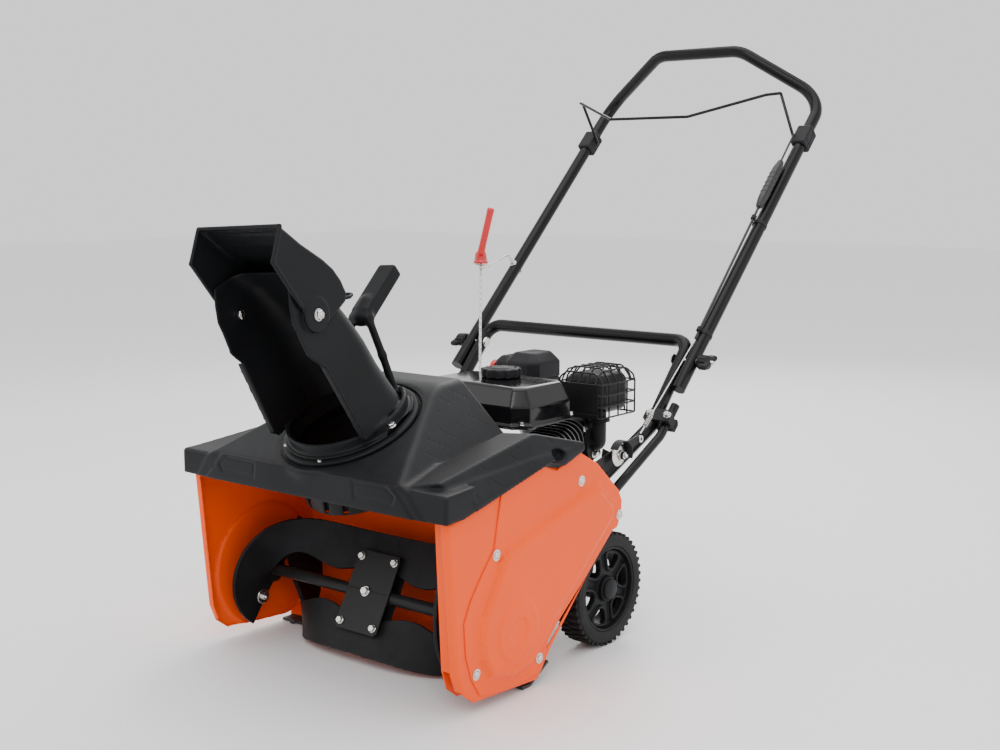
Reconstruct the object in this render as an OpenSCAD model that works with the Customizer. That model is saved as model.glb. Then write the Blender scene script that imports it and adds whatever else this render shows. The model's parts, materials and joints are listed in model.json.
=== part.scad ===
// Single-stage walk-behind snow blower.
// Layout frame: X to the right of the operator, Y towards the operator, Z up from the ground.
// The front of the machine faces -Y, and X = 0 is the middle of the handle and of the housing.

/* [Housing] */
// Outer face of each side plate from the middle (half the clearing width)
side_x = 273.5; // [265:0.5:285]
// Thickness of the steel sheets
sheet_t = 2; // [1.5:0.5:3]
// Half width of the top cover
cover_x = 283; // [280:1:286]
// Wall of the plastic mouldings
plastic_t = 3.2; // [2.5:0.1:4]

/* [Rotor] */
// Distance of the rotor axis in front of the handle frame's zero line
rotor_y = -225; // [-235:1:-220]
// Height of the rotor axis over the ground
rotor_z = 104; // [102:1:112]
// Outer radius of the rubber paddles
rotor_r = 100; // [92:1:102]
// Thickness of the rubber paddles
paddle_t = 7; // [5:1:9]

/* [Chute] */
// Height of the middle of the chute ring
ring_z = 392.6; // [380:0.2:400]
// Forward lean of the chute axis in degrees
ring_tilt = 25.6; // [20:0.2:30]
// How far the chute is turned on its ring at rest, in degrees
chute_turn = 6.4; // [0:0.2:20]
// Outer radius of the fixed chute ring
ring_r = 110; // [106:1:114]

/* [Handle] */
// Outer diameter of the handle tubes
tube_d = 24; // [20:1:25]
// Half spacing of the upper handle's legs
leg_x = 252.8; // [245:0.2:258]
// Height of the fold pivots
fold_z = 449; // [440:1:460]

/* [Wheels] */
// Wheel diameter
wheel_d = 190; // [180:1:200]
// Wheel width
wheel_w = 50; // [40:1:55]

/* [Engine] */
// Height of the crankshaft
crank_z = 250; // [245:1:255]

/* [Hidden] */
$fn = 48;
mid_y = 131.9;

// Driving points in the layout frame
crank_y = -10;
lip_y = -383;
lip_low = 294;
lip_high = 333;
ring_y = -282.4;
axle_y = 61;
axle_z = wheel_d / 2;
axle_d = 12;
wheel_out = 254;
inner_wall_x = 234;
inner_x = leg_x - tube_d - 0.8;
belt_x = 254;
fold_y = 310;
leg_pitch = 44.5;
corner_y = 792.65;
corner_z = fold_z + (corner_y - fold_y) * tan(leg_pitch);
bar_x = 96;
bar_y = 737;
bar_z = 1022;
bail_x = 232.5;
bail_y = 712;
bail_z = fold_z + (bail_y - fold_y) * tan(leg_pitch);
wire_d = 6;
tube_wall = 1.5;
lever_y = 80;
lever_z = 318;
idler_y = -87.5;
idler_z = 275.8;
shaft_d = 20;
rotor_mid = -14;
rotor_half = 229;
cyl_pitch = 15;
cyl_x = 76;
gap = 0.3;
rope_d = 3.5;
cable_d = 2.4;
recoil_x = -66;

// ---------- helpers ----------

// Moves the layout frame so that Y = 0 is the middle of the whole object's depth
module placed() { translate([0, -mid_y, 0]) children(); }

// Cylinder along X between two places
module x_rod(d, x0, x1, y = 0, z = 0) {
    translate([x0, y, z]) rotate([0, 90, 0]) cylinder(d = d, h = x1 - x0);
}

// Plate with its outline in Y and Z and its thickness along X
module x_plate(points, x0, thick) {
    translate([x0, 0, 0]) rotate([90, 0, 90]) linear_extrude(thick) polygon(points);
}

// Box between two corners
module box(a, b) { translate(a) cube(b - a); }

function unit(v) = v / norm(v);

function any_normal(a) = abs(a.x) < 0.9 ? unit(cross(a, [1, 0, 0])) : unit(cross(a, [0, 1, 0]));
function turn(a, b) = acos(max(-1, min(1, a * b)));
function bend_len(p, i, r) = (i == 0 || i == len(p) - 1) ? 0
    : r * tan(turn(unit(p[i] - p[i - 1]), unit(p[i + 1] - p[i])) / 2);

// Points of a path with each inner corner rounded to radius r in k steps
function corner(p, i, r, k) = let(
    a = unit(p[i] - p[i - 1]), b = unit(p[i + 1] - p[i]), angle = turn(a, b),
    n = unit(b - a * (a * b)), start = p[i] - a * bend_len(p, i, r)
) [for (j = [0 : k]) start + n * r * (1 - cos(angle * j / k)) + a * r * sin(angle * j / k)];
function rounded(p, r, k) = [p[0], for (i = [1 : 1 : len(p) - 2]) each corner(p, i, r, k), p[len(p) - 1]];
function tangent(q, i) = i == 0 ? unit(q[1] - q[0])
    : i == len(q) - 1 ? unit(q[i] - q[i - 1])
    : unit(unit(q[i] - q[i - 1]) + unit(q[i + 1] - q[i]));
function carried(u, t) = unit(u - t * (u * t));
function sides_of(q) = [for (i = 0, u = any_normal(tangent(q, 0)); i < len(q);
    i = i + 1, u = i < len(q) ? carried(u, tangent(q, i)) : u) u];
function rings(q, us, r, n) = [for (i = [0 : len(q) - 1], k = [0 : n - 1])
    q[i] + us[i] * r * cos(360 * k / n) + cross(tangent(q, i), us[i]) * r * sin(360 * k / n)];
function skin(m, n, from, flip) = [for (i = [0 : m - 2], k = [0 : n - 1])
    let(a = from + i * n + k, b = from + i * n + (k + 1) % n)
    each (flip ? [[a, b, a + n], [b, b + n, a + n]] : [[a, a + n, b], [b, a + n, b + n]])];

// Round bar through a list of points, its corners bent to radius r
module bar(p, d, r, n = 12, k = 4) {
    q = rounded(p, r, k);
    m = len(q);
    polyhedron(rings(q, sides_of(q), d / 2, n), concat(
        skin(m, n, 0, false),
        [[for (i = [0 : n - 1]) i]],
        [[for (i = [n - 1 : -1 : 0]) (m - 1) * n + i]]
    ));
}

// Thin-walled tube through a list of points
module tube(p, d, r, wall, n = 20, k = 6) {
    q = rounded(p, r, k);
    m = len(q);
    us = sides_of(q);
    inner = m * n;
    end = (m - 1) * n;
    polyhedron(concat(rings(q, us, d / 2, n), rings(q, us, d / 2 - wall, n)), concat(
        skin(m, n, 0, false),
        skin(m, n, inner, true),
        [for (i = [0 : n - 1]) let(j = (i + 1) % n)
            each [[i, j, inner + i], [j, inner + j, inner + i]]],
        [for (i = [0 : n - 1]) let(j = (i + 1) % n)
            each [[end + j, end + i, inner + end + i], [inner + end + j, end + j, inner + end + i]]]
    ));
}

// Frame of the chute ring: origin in its middle, Z along the chute axis
module on_ring() { translate([0, ring_y, ring_z]) rotate([ring_tilt, 0, 0]) children(); }
module on_chute() { on_ring() rotate([0, 0, chute_turn]) children(); }

// Pan-head or hex screw with its head towards +X
module x_screw(head_d, head_h, shank_d, shank_l) {
    x_rod(head_d, 0, head_h);
    x_rod(shank_d, -shank_l, 0.01);
}

// ---------- housing ----------

side_outline = [
    [-370, 292], [-350, 66], [-338, 36], [-313, 17], [-160, 8], [-128, 48],
    [-20, 152], [45, 205], [58, 245], [46, 270], [-12, 322], [-100, 330], [-160, 344], [-300, 306]
];

module side_sheet(x0) {
    x_plate(side_outline, x0, sheet_t);
}

module left_side_plate() placed() color("OrangeRed") difference() {
    union() {
        side_sheet(-side_x);
        x_rod(2 * rotor_r + 16, -side_x + sheet_t - 0.01, -side_x + sheet_t + 3, rotor_y, rotor_z + 6);
    }
    x_rod(34, -side_x - 1, -side_x + 8, rotor_y, rotor_z);
}

belt_window = [[-300, 60], [-150, 45], [-40, 140], [30, 220], [30, 262], [-20, 300], [-80, 305], [-246, 236]];

module right_side_plate() placed() color("OrangeRed") difference() {
    side_sheet(side_x - sheet_t);
    x_plate(belt_window, side_x - sheet_t - 1, sheet_t + 2);
    for (p = screw_spots) x_rod(5, side_x - 5, side_x + 1, p.x, p.y);
}

inner_outline = [
    [-352, 290], [-340, 66], [-330, 36], [-308, 19], [-175, 10], [-128, 54],
    [-20, 158], [40, 210], [50, 245], [-12, 312], [-100, 318], [-300, 296]
];

module inner_wall() placed() color("OrangeRed") difference() {
    union() {
        x_plate(inner_outline, inner_wall_x, sheet_t);
        x_plate([[-352, 290], [-352, 288], [-340, 66], [-338, 66], [-350, 290]],
            inner_wall_x + sheet_t - 0.01, side_x - sheet_t - inner_wall_x - sheet_t - gap);
    }
    x_rod(34, inner_wall_x - 1, inner_wall_x + 4, rotor_y, rotor_z);
    x_rod(40, inner_wall_x - 1, inner_wall_x + 4, crank_y, crank_z);
}

shell_r = rotor_r + 9;
shell_x0 = -side_x + sheet_t + 3 + gap;
shell_x1 = inner_wall_x - gap;

module housing_shell() placed() color("OrangeRed") difference() {
    translate([shell_x0, rotor_y, rotor_z]) rotate([90, 0, 90]) linear_extrude(shell_x1 - shell_x0)
        difference() {
            union() {
                circle(r = shell_r + sheet_t, $fn = 96);
                square([shell_r + sheet_t, 222]);
            }
            circle(r = shell_r, $fn = 96);
            translate([-150, 0]) square([150 + shell_r, 300]);
            translate([-150, -150]) square([150 + 52, 300]);
            translate([-150, -150]) square([300, 51]);
        }
    x_rod(8, -8, 8, rotor_y, rotor_z);
}

module scraper_bar() placed() color("DimGray") union() {
    box([-268, -192, 0], [268, -172, 4.4]);
    x_plate([[-172.5, 0.4], [-172.5, 4.4], [-128, 30], [-126, 26.5]], -268, 536);
}

deck_z = 144;
web_x = 196;

deck_web = [
    [-108, deck_z - 3], [-108, 180], [24, 296], [86, 296], [110, 210], [110, deck_z - 3],
    [96, deck_z - 3], [78, 78], [44, 78], [26, deck_z - 3]
];

module engine_deck() placed() color([0.12, 0.12, 0.12]) difference() {
    union() {
        box([-web_x, -112, deck_z - 3], [web_x, 110, deck_z]);
        box([-side_x + 6, -112, deck_z - 3], [inner_wall_x - gap, -42, deck_z]);
        for (s = [-1, 1]) {
            x_plate(deck_web, s > 0 ? web_x : -web_x - 4, 4);
            x_rod(18, s > 0 ? web_x + 3.9 : -inner_x + tube_d / 2 + 0.2,
                s > 0 ? inner_x - tube_d / 2 - 0.2 : -web_x - 3.9, 64, 276.6);
        }
    }
    x_rod(axle_d + 0.04, -300, 300, axle_y, axle_z);
    x_rod(30, web_x - 5, web_x + 10, crank_y, crank_z);
}

module wheel_axle() placed() color("Silver") x_rod(axle_d, -wheel_out - 4, wheel_out + 4, axle_y, axle_z);

// ---------- top cover ----------

shoulder = [
    [lip_y, lip_low], [lip_y, lip_high - 6], [lip_y + 6, lip_high], [-345, 338], [-300, 342],
    [-160, 357], [-60, 360], [-60, 356.5], [-160, 353.5], [-300, 338.5],
    [-345, 334.5], [lip_y + 7, lip_high - 4], [lip_y + plastic_t, lip_high - 8],
    [lip_y + plastic_t, lip_low]
];

module hump(inset) {
    hull() {
        translate([-182 + inset, -372 + inset, 330]) cube([364 - 2 * inset, 250, 1]);
        on_ring() translate([0, 0, -6 - inset]) cylinder(r = 122 - inset, h = 1, $fn = 32);
        translate([-78 + inset, -108 - inset, 444 - inset]) cube([156 - 2 * inset, 8, 1]);
        translate([-150 + inset, -102 - inset, 360]) cube([300 - 2 * inset, 60 - inset, 1]);
    }
}

// Corners of the raised shoulder over the belt drive
ridge_in = 176;
ridge_mid = 250;
ridge_points = [
    [ridge_in, -350, 334], [ridge_in, -62, 356], [ridge_mid, -362, 346], [ridge_mid, -145, 386],
    [ridge_mid, -62, 358], [282, -314, 306], [282, -138, 348], [282, -62, 350]
];
lip_profile = [
    [lip_y, lip_low], [lip_y, lip_high - 6], [lip_y + 6, lip_high], [-345, 338], [-318, 338],
    [-318, 334.5], [-345, 334.5], [lip_y + 7, lip_high - 4], [lip_y + plastic_t, lip_high - 8],
    [lip_y + plastic_t, lip_low]
];

module ridge() hull() for (p = ridge_points) translate(p) cube([1, 1, 1]);

module ridge_hollow() hull() for (p = ridge_points, drop = [plastic_t + 1, 90])
    translate([p.x - (p.x > ridge_mid ? 3 : -0.5), p.y, p.z - drop]) cube([1, 1.2, 1]);

module top_cover() placed() color([0.16, 0.16, 0.17]) difference() {
    union() {
        difference() {
            union() {
                x_plate(shoulder, -cover_x, cover_x + ridge_mid);
                x_plate(lip_profile, ridge_mid - 1, cover_x - ridge_mid + 1);
                hump(0);
                ridge();
            }
            translate([0, 0, -0.5]) hump(plastic_t);
            ridge_hollow();
        }
        x_plate([
            [lip_y, lip_low], [lip_y, lip_high - 6], [lip_y + 6, lip_high], [-345, 338], [-300, 342],
            [-160, 357], [-60, 360], [-62, 348], [-121, 342], [-159, 340], [-300, 312], [-345, 296]
        ], -cover_x, plastic_t);
        x_plate([
            [lip_y, lip_low], [lip_y, lip_high - 6], [lip_y + 6, lip_high], [-345, 338], [-318, 338],
            [-306, 306], [-345, 296]
        ], cover_x - plastic_t, plastic_t);
        on_ring() difference() {
            translate([0, 0, -97]) cylinder(r = 108, h = 83);
            translate([0, 0, -98]) cylinder(r = 105, h = 85);
            translate([-120, 0, -99]) cube([240, 130, 99]);
        }
    }
    on_ring() translate([0, 0, -30]) cylinder(r = 104, h = 60, $fn = 96);
}

// ---------- belt case ----------

cover_outline = [
    [-265, 269], [-271, 238], [-299, 206], [-325, 172], [-339, 143], [-335, 92], [-322, 53],
    [-303, 25], [-243, 16], [-158, 20], [-137, 66], [-112, 89], [-19, 159], [30, 202], [48, 206],
    [59, 231], [60, 250], [50, 269], [14, 301], [-11, 323], [-62, 350], [-121, 330], [-159, 345],
    [-255, 318]
];
raised = [
    [-250, 236], [-262, 222], [-307, 147], [-316, 112], [-311, 80], [-290, 44], [-236, 30],
    [-180, 40], [-128, 92], [-20, 184], [30, 226], [32, 250], [-11, 293], [-56, 288]
];
screw_spots = [[-56, 301], [-266, 228], [50, 227], [-163, 45], [-312, 62]];

module belt_cover() placed() color("OrangeRed") difference() {
    union() {
        x_plate(cover_outline, side_x + gap, 1.6);
        x_plate(raised, side_x + gap, 10.5);
        x_rod(96, side_x + gap, side_x + gap + 12, rotor_y, rotor_z + 2);
    }
    translate([-2, 0, 0]) x_plate([for (p = raised) [rotor_y + 90 + (p.x - rotor_y - 90) * 0.95,
        170 + (p.y - 170) * 0.95]], side_x, 10);
    for (p = screw_spots) x_rod(5, side_x - 1, side_x + 20, p.x, p.y);
}

module cover_screws() placed() color("Silver") {
    for (p = screw_spots)
        translate([side_x + gap + 1.7, p.x, p.y]) x_screw(12, 4, 4.9, 8);
}

// ---------- rotor ----------

// Sheet swept from the middle to the ends: flat across the middle, coiled into a disc at each end
coil = 175;
function sweep_x(t) = rotor_mid + rotor_half * sign(t) * pow(sin(90 * abs(t)), 0.9);
function sweep_a(t, a0) = a0 + coil * pow(1 - cos(90 * t), 1.35);
function inner_r(t) = 34 + 8 * cos(360 * t * 2) - 15 * pow(abs(t), 6);
function on_sheet(t, r, a0) = [sweep_x(t), r * cos(sweep_a(t, a0)), r * sin(sweep_a(t, a0))];
function along_r(a0, t) = [0, cos(sweep_a(t, a0)), sin(sweep_a(t, a0))];
function sheet_n(t, a0) = let(
    d = on_sheet(min(1, t + 0.01), 70, a0) - on_sheet(max(-1, t - 0.01), 70, a0)
) unit(cross(d, along_r(a0, t)));

sheet_steps = 44;
plate_lean = 61;

end_r = 52;
plate_bolts = [[-36, 54], [36, 54]];

module paddle(a0) {
    ts = [for (i = [0 : sheet_steps]) -1 + 2 * i / sheet_steps];
    pts = [for (t = ts) let(n = sheet_n(t, a0) * paddle_t / 2, p = on_sheet(t, inner_r(t), a0),
        q = on_sheet(t, rotor_r, a0)) each [p - n, q - n, q + n, p + n]];
    last = 4 * sheet_steps;
    faces = concat(
        [[0, 1, 2, 3]],
        [[last + 3, last + 2, last + 1, last]],
        [for (i = [0 : sheet_steps - 1], k = [0 : 3])
            let(a = 4 * i + k, b = 4 * i + (k + 1) % 4) each [[a, a + 4, b], [b, a + 4, b + 4]]]
    );
    translate([0, rotor_y, rotor_z]) difference() {
        polyhedron(pts, faces);
        rotate([a0 - 90, 0, 0]) for (p = plate_bolts)
            translate([rotor_mid + p.x, -30, p.y]) rotate([-90, 0, 0]) cylinder(d = 6, h = 60);
        rotate([a0 + coil - 7, 0, 0]) x_rod(6.02, -300, 300, end_r, 0);
    }
}

module paddle_a() placed() color([0.1, 0.1, 0.1]) paddle(plate_lean);
module paddle_b() placed() color([0.1, 0.1, 0.1]) paddle(plate_lean + 180);

module rotor_shaft() placed() color([0.13, 0.13, 0.13]) x_rod(shaft_d, -side_x - 6, belt_x + 14, rotor_y, rotor_z);

module in_plate_frame() translate([rotor_mid, rotor_y, rotor_z]) rotate([plate_lean - 90, 0, 0]) children();

module plate_bolt_rods(d, from, len) in_plate_frame() for (x = [-36, 36], z = [-54, 54])
    translate([x, from, z]) rotate([-90, 0, 0]) cylinder(d = d, h = len);

module centre_plates() placed() color([0.14, 0.14, 0.14]) difference() {
    in_plate_frame() for (s = [-1, 1]) translate([0, s * (shaft_d / 2 + 1.6) - 1.5, 0]) difference() {
        translate([-46, 0, -64]) cube([92, 3, 128]);
        for (x = [-60, 46]) translate([x - 0.01, -1, -12]) cube([14.02, 5, 24]);
    }
    plate_bolt_rods(6, -30, 60);
}

disc_x = rotor_half + paddle_t / 2 + 0.1;

module end_brackets() placed() color([0.14, 0.14, 0.14])
    for (s = [-1, 1]) translate([rotor_mid + (s > 0 ? disc_x : -disc_x - 3), rotor_y, rotor_z]) difference() {
        union() {
            x_rod(46, 0, 3);
            rotate([plate_lean + coil - 7, 0, 0]) box([0, -end_r, -12], [3, end_r, 12]);
            for (e = [-1, 1]) rotate([plate_lean + coil - 7, 0, 0]) x_rod(24, 0, 3, e * end_r, 0);
        }
        x_rod(shaft_d, -1, 4);
        for (e = [-1, 1]) rotate([plate_lean + coil - 7, 0, 0]) x_rod(6, -1, 4, e * end_r, 0);
    }

module rotor_bolts() placed() color("Silver") {
    plate_bolt_rods(5.8, -shaft_d / 2 - 7, shaft_d + 14);
    plate_bolt_rods(11, -shaft_d / 2 - 7, 3.7);
    plate_bolt_rods(10, shaft_d / 2 + 3.3, 4);
    in_plate_frame() translate([-4, -shaft_d / 2 - 7, 0]) rotate([-90, 0, 0]) cylinder(d = 13, h = 3.7);
    for (s = [-1, 1], e = [-1, 1]) translate([rotor_mid, rotor_y, rotor_z])
        rotate([plate_lean + coil - 7, 0, 0]) {
            x_rod(5.8, s > 0 ? rotor_half - 9 : -disc_x - 6, s > 0 ? disc_x + 6 : 9 - rotor_half, e * end_r, 0);
            x_rod(20, s > 0 ? rotor_half - 5.4 : 3.9 - rotor_half, s > 0 ? rotor_half - 3.9 : 5.4 - rotor_half,
                e * end_r, 0);
            x_rod(11, s > 0 ? rotor_half - 9 : 5.3 - rotor_half, s > 0 ? rotor_half - 5.3 : 9 - rotor_half,
                e * end_r, 0);
        }
}

module rotor_bearings() placed() color("Silver") {
    for (x = [-side_x + sheet_t + 3 + gap, inner_wall_x - 9 - gap]) difference() {
        x_rod(46, x, x + 9, rotor_y, rotor_z);
        x_rod(shaft_d + 0.06, x - 1, x + 10, rotor_y, rotor_z);
    }
}

module x_pulley(d, bore, w) rotate([90, 0, 90]) rotate_extrude($fn = 72)
    polygon([[bore / 2, 0], [d / 2, 0], [d / 2, 2], [d / 2 - 8, w / 2 - 3], [d / 2 - 8, w / 2 + 3],
        [d / 2, w - 2], [d / 2, w], [bore / 2, w]]);

rotor_pulley_d = 150;
engine_pulley_d = 62;

module rotor_pulley() placed() color([0.2, 0.2, 0.2]) translate([belt_x - 8, rotor_y, rotor_z])
    x_pulley(rotor_pulley_d, shaft_d, 16);
module engine_pulley() placed() color([0.2, 0.2, 0.2]) translate([belt_x - 8, crank_y, crank_z])
    x_pulley(engine_pulley_d, 22, 16);

belt_w = 9;

module belt_loop(grow) hull() {
    translate([rotor_y, rotor_z]) circle(r = rotor_pulley_d / 2 - 7.5 + grow, $fn = 96);
    translate([crank_y, crank_z]) circle(r = engine_pulley_d / 2 - 7.5 + grow, $fn = 48);
}

module drive_belt() placed() color([0.08, 0.08, 0.08])
    translate([belt_x - belt_w / 2 + 2, 0, 0]) rotate([90, 0, 90]) linear_extrude(belt_w - 4) difference() {
        belt_loop(7);
        belt_loop(0.3);
    }

// ---------- engine ----------

module crankshaft() placed() color("Silver") {
    x_rod(22, recoil_x + 18, 40, crank_y, crank_z);
    x_rod(22, 60, belt_x + 12, crank_y, crank_z);
    x_rod(70, 39.9, 60.1, crank_y, crank_z);
}

module crankcase() placed() color([0.35, 0.35, 0.36]) difference() {
    union() {
        x_rod(170, 28, 176, crank_y, crank_z);
        box([28, -88, deck_z + gap], [176, 70, 235]);
        box([34, 30, 200], [118, 77, 290]);
        x_rod(60, 175, 190, crank_y, crank_z);
    }
    x_rod(160, 34, 170, crank_y, crank_z);
    box([34, -82, deck_z + 6], [170, 64, 235]);
    x_rod(22.08, 20, 200, crank_y, crank_z);
}

module fan_housing() placed() color([0.12, 0.12, 0.12]) difference() {
    x_rod(200, -44, 27.5, crank_y, crank_z);
    x_rod(194, -41, 30, crank_y, crank_z);
    x_rod(90, -45, -40, crank_y, crank_z);
}

module flywheel() placed() color([0.45, 0.45, 0.45]) difference() {
    union() {
        x_rod(186, 2, 20, crank_y, crank_z);
        for (i = [0 : 15]) translate([0, crank_y, crank_z]) rotate([i * 22.5, 0, 0])
            box([-14, 60, -1.5], [2.01, 88, 1.5]);
    }
    x_rod(22, -20, 30, crank_y, crank_z);
}

module recoil_housing() placed() color([0.1, 0.1, 0.1]) difference() {
    union() {
        x_rod(176, recoil_x - 14, -44 - gap, crank_y, crank_z);
        translate([recoil_x, 52, 264]) rotate([-70, 0, 0]) cylinder(d = 20, h = 58);
    }
    x_rod(166, recoil_x - 10, -40, crank_y, crank_z);
    translate([recoil_x, 52, 264]) rotate([-70, 0, 0]) cylinder(d = 9, h = 60);
}

module recoil_pulley() placed() color([0.85, 0.85, 0.8]) difference() {
    x_rod(120, recoil_x - 6, recoil_x + 6, crank_y, crank_z);
    x_rod(14, recoil_x - 7, recoil_x + 7, crank_y, crank_z);
    translate([recoil_x, crank_y, crank_z]) rotate([90, 0, 90]) rotate_extrude($fn = 72)
        translate([54, -2.5]) square([8, 5]);
}

module on_cylinder() translate([0, crank_y, crank_z]) rotate([cyl_pitch, 0, 0]) children();

module cylinder_block() placed() color([0.5, 0.5, 0.5]) on_cylinder() difference() {
    union() {
        translate([cyl_x, 100, 0]) rotate([-90, 0, 0]) cylinder(d = 80, h = 109);
        for (i = [0 : 8]) translate([cyl_x - 44, 106 + 11 * i, -46]) cube([88, 3, 92]);
    }
    translate([cyl_x, 90, 0]) rotate([-90, 0, 0]) cylinder(d = 68, h = 108);
}

module head_cover() placed() color([0.15, 0.15, 0.15]) on_cylinder() difference() {
    translate([cyl_x - 44, 209 + gap, -40]) cube([88, 30, 80]);
    translate([cyl_x - 40, 208, -36]) cube([80, 27, 72]);
}

module fuel_tank() placed() color([0.07, 0.07, 0.07]) difference() {
    union() {
        hull() {
            for (x = [-104, 108], y = [4, 132]) translate([x, y, 366]) cylinder(r = 16, h = 32, $fn = 32);
            for (x = [-88, 92], y = [20, 118]) translate([x, y, 402]) cylinder(r = 16, h = 22, $fn = 32);
        }
        hull() for (x = [-110, 114], y = [-2, 138]) translate([x, y, 358]) cylinder(r = 14, h = 4, $fn = 32);
        hull() for (x = [-96, 100], y = [48, 124]) translate([x, y, 347]) cylinder(r = 16, h = 21, $fn = 32);
        translate([2, 86, 420]) cylinder(d = 48, h = 10);
    }
    hull() for (x = [-96, 100], y = [48, 124]) translate([x, y, 351]) cylinder(r = 12, h = 68, $fn = 32);
    translate([2, 86, 410]) cylinder(d = 40, h = 30);
}

module fuel_cap() placed() color([0.1, 0.1, 0.1]) translate([2, 86, 424 + gap]) difference() {
    union() {
        cylinder(d = 66, h = 17);
        for (i = [0 : 11]) rotate([0, 0, 30 * i]) translate([32, 0, 0]) cylinder(d = 10, h = 17);
    }
    translate([0, 0, -1]) cylinder(d = 50, h = 12);
}

module air_filter_box() placed() color([0.15, 0.15, 0.16]) hull() {
    for (x = [-112, -24], y = [212, 286]) translate([x, y, 372]) cylinder(r = 10, h = 50, $fn = 32);
    for (x = [-92, -44], y = [228, 270]) translate([x, y, 440]) cylinder(r = 10, h = 10, $fn = 32);
}

module carburettor() placed() color("Silver") union() {
    box([-70, 205, 322], [-20, 260, 371.5]);
    translate([-45, 232, 296]) cylinder(d = 42, h = 27);
    x_rod(30, -20.01, 26, 222, 340);
    box([20, 205, 324], [cyl_x - 44 - gap, 240, 356]);
}

module choke_knob() placed() color("Crimson") difference() {
    x_rod(34, -132, -122 - gap, 232, 412);
    x_rod(24, -133, -128, 232, 412);
}

module exhaust_pipe() placed() color([0.15, 0.15, 0.15]) union() {
    box([cyl_x + 44 + gap, 166, 282], [cyl_x + 52, 216, 328]);
    box([cyl_x + 51.9, 178, 294], [cyl_x + 62, 204, 320]);
    translate([cyl_x + 62, 191, 296]) cylinder(d = 28, h = 55);
}

module muffler() placed() color([0.1, 0.1, 0.1]) union() {
    hull() for (z = [366, 418], y = [190, 260]) x_rod(20, 70, 144, y, z);
    translate([cyl_x + 62, 191, 351.2]) cylinder(d = 24, h = 14);
}

guard_bar = 3;

module muffler_guard() placed() color([0.08, 0.08, 0.08]) difference() {
    hull() {
        translate([60, 168, 352]) cube([96, 114, 60]);
        for (y = [188, 264]) translate([68, y, 424]) rotate([0, 90, 0]) cylinder(r = 16, h = 80, $fn = 32);
    }
    hull() {
        translate([63, 171, 340]) cube([90, 108, 72]);
        for (y = [188, 264]) translate([71, y, 424]) rotate([0, 90, 0]) cylinder(r = 13, h = 74, $fn = 32);
    }
    for (x = [66, 87, 108, 129], z = [362, 387]) box([x, 160, z], [x + 15, 290, z + 18]);
    for (y = [180, 205, 230, 255], z = [362, 387]) box([50, y, z], [160, y + 17, z + 18]);
    for (x = [66, 87, 108, 129], y = [180, 205, 230, 255]) box([x, y, 420], [x + 15, y + 17, 460]);
}

// ---------- clutch ----------

module clutch_lever() placed() color([0.1, 0.1, 0.1]) difference() {
    union() {
        x_rod(14, 240, 268, lever_y, lever_z);
        x_rod(38, 252, 260, lever_y, lever_z);
        x_plate([[lever_y, lever_z + 10], [lever_y + 72, lever_z + 22], [lever_y + 74, lever_z + 12],
            [lever_y + 4, lever_z - 8]], 247, 3);
        x_plate([[lever_y, lever_z - 7], [lever_y, lever_z + 7], [idler_y, idler_z + 7],
            [idler_y, idler_z - 7]], 240.5, 3);
        x_rod(14, 240.5, 243.5, idler_y, idler_z);
        x_rod(8, 240.5, belt_x + 8, idler_y, idler_z);
    }
    x_rod(3, 240, 256, lever_y + 69, lever_z + 16);
}

module idler_pulley() placed() color([0.3, 0.3, 0.3]) difference() {
    x_rod(44, belt_x - 6, belt_x + 6, idler_y, idler_z);
    x_rod(8.06, belt_x - 7, belt_x + 7, idler_y, idler_z);
}

// ---------- wheels ----------

module wheel(inner) translate([inner, axle_y, axle_z]) rotate([90, 0, 90]) difference() {
    union() {
        rotate_extrude($fn = 96) polygon([
            [70, 0], [90, 0], [94, 5], [wheel_d / 2, 12], [wheel_d / 2, wheel_w - 12],
            [94, wheel_w - 5], [90, wheel_w], [70, wheel_w]
        ]);
        translate([0, 0, 8]) cylinder(r = 71, h = 6);
        translate([0, 0, 2]) cylinder(r = 20, h = wheel_w - 2);
        for (i = [0 : 4]) rotate([0, 0, 72 * i]) translate([18, -5, 6]) cube([54, 10, wheel_w - 12]);
    }
    translate([0, 0, -1]) cylinder(d = axle_d + 0.1, h = wheel_w + 2);
    for (i = [0 : 4]) rotate([0, 0, 72 * i + 36]) translate([45, 0, -1]) cylinder(r = 13, h = wheel_w + 2);
}

module wheel_left() placed() color([0.1, 0.1, 0.1]) wheel(-wheel_out);
module wheel_right() placed() color([0.1, 0.1, 0.1]) wheel(wheel_out - wheel_w);

// ---------- chute ----------

module chute_ring() placed() color([0.13, 0.13, 0.14]) on_ring() rotate_extrude($fn = 96)
    polygon([[97, -14], [103.6, -14], [103.6, -4.6], [ring_r, -4.6], [ring_r, 0], [107, 2.5], [97, 2.5]]);

module channel(z, half, back, r, front, h = 1) translate([0, 0, z]) {
    for (s = [-1, 1]) translate([s * (half - r), back - r, 0]) cylinder(r = r, h = h, $fn = 32);
    translate([-half, front, 0]) cube([2 * half, 1, h]);
}

module chute() placed() color([0.1, 0.1, 0.1]) on_chute() {
    difference() {
        union() {
            translate([0, 0, -12]) cylinder(r = 96.4, h = 14, $fn = 96);
            translate([0, 0, 3]) cylinder(r = 104, h = 4, $fn = 96);
            translate([0, 0, 1.9]) cylinder(r = 96.4, h = 2, $fn = 96);
        }
        translate([0, 0, -13]) cylinder(r = 90, h = 30, $fn = 96);
    }
    difference() {
        hull() {
            channel(5, 88, 66, 56, -80);
            channel(60, 84, 50, 50, -86);
            channel(224, 73, 2, 26, -103);
        }
        hull() {
            channel(4.9, 84, 62, 52, -130);
            channel(60, 80, 46, 46, -130);
            channel(224.2, 69, -2, 22, -130, 2);
        }
        for (s = [-1, 1]) translate([s * 60, -62, 229]) rotate([0, s * 90, 0]) cylinder(d = 8, h = 30);
    }
}

pivot_y = -62;
pivot_z = 229;

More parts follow.
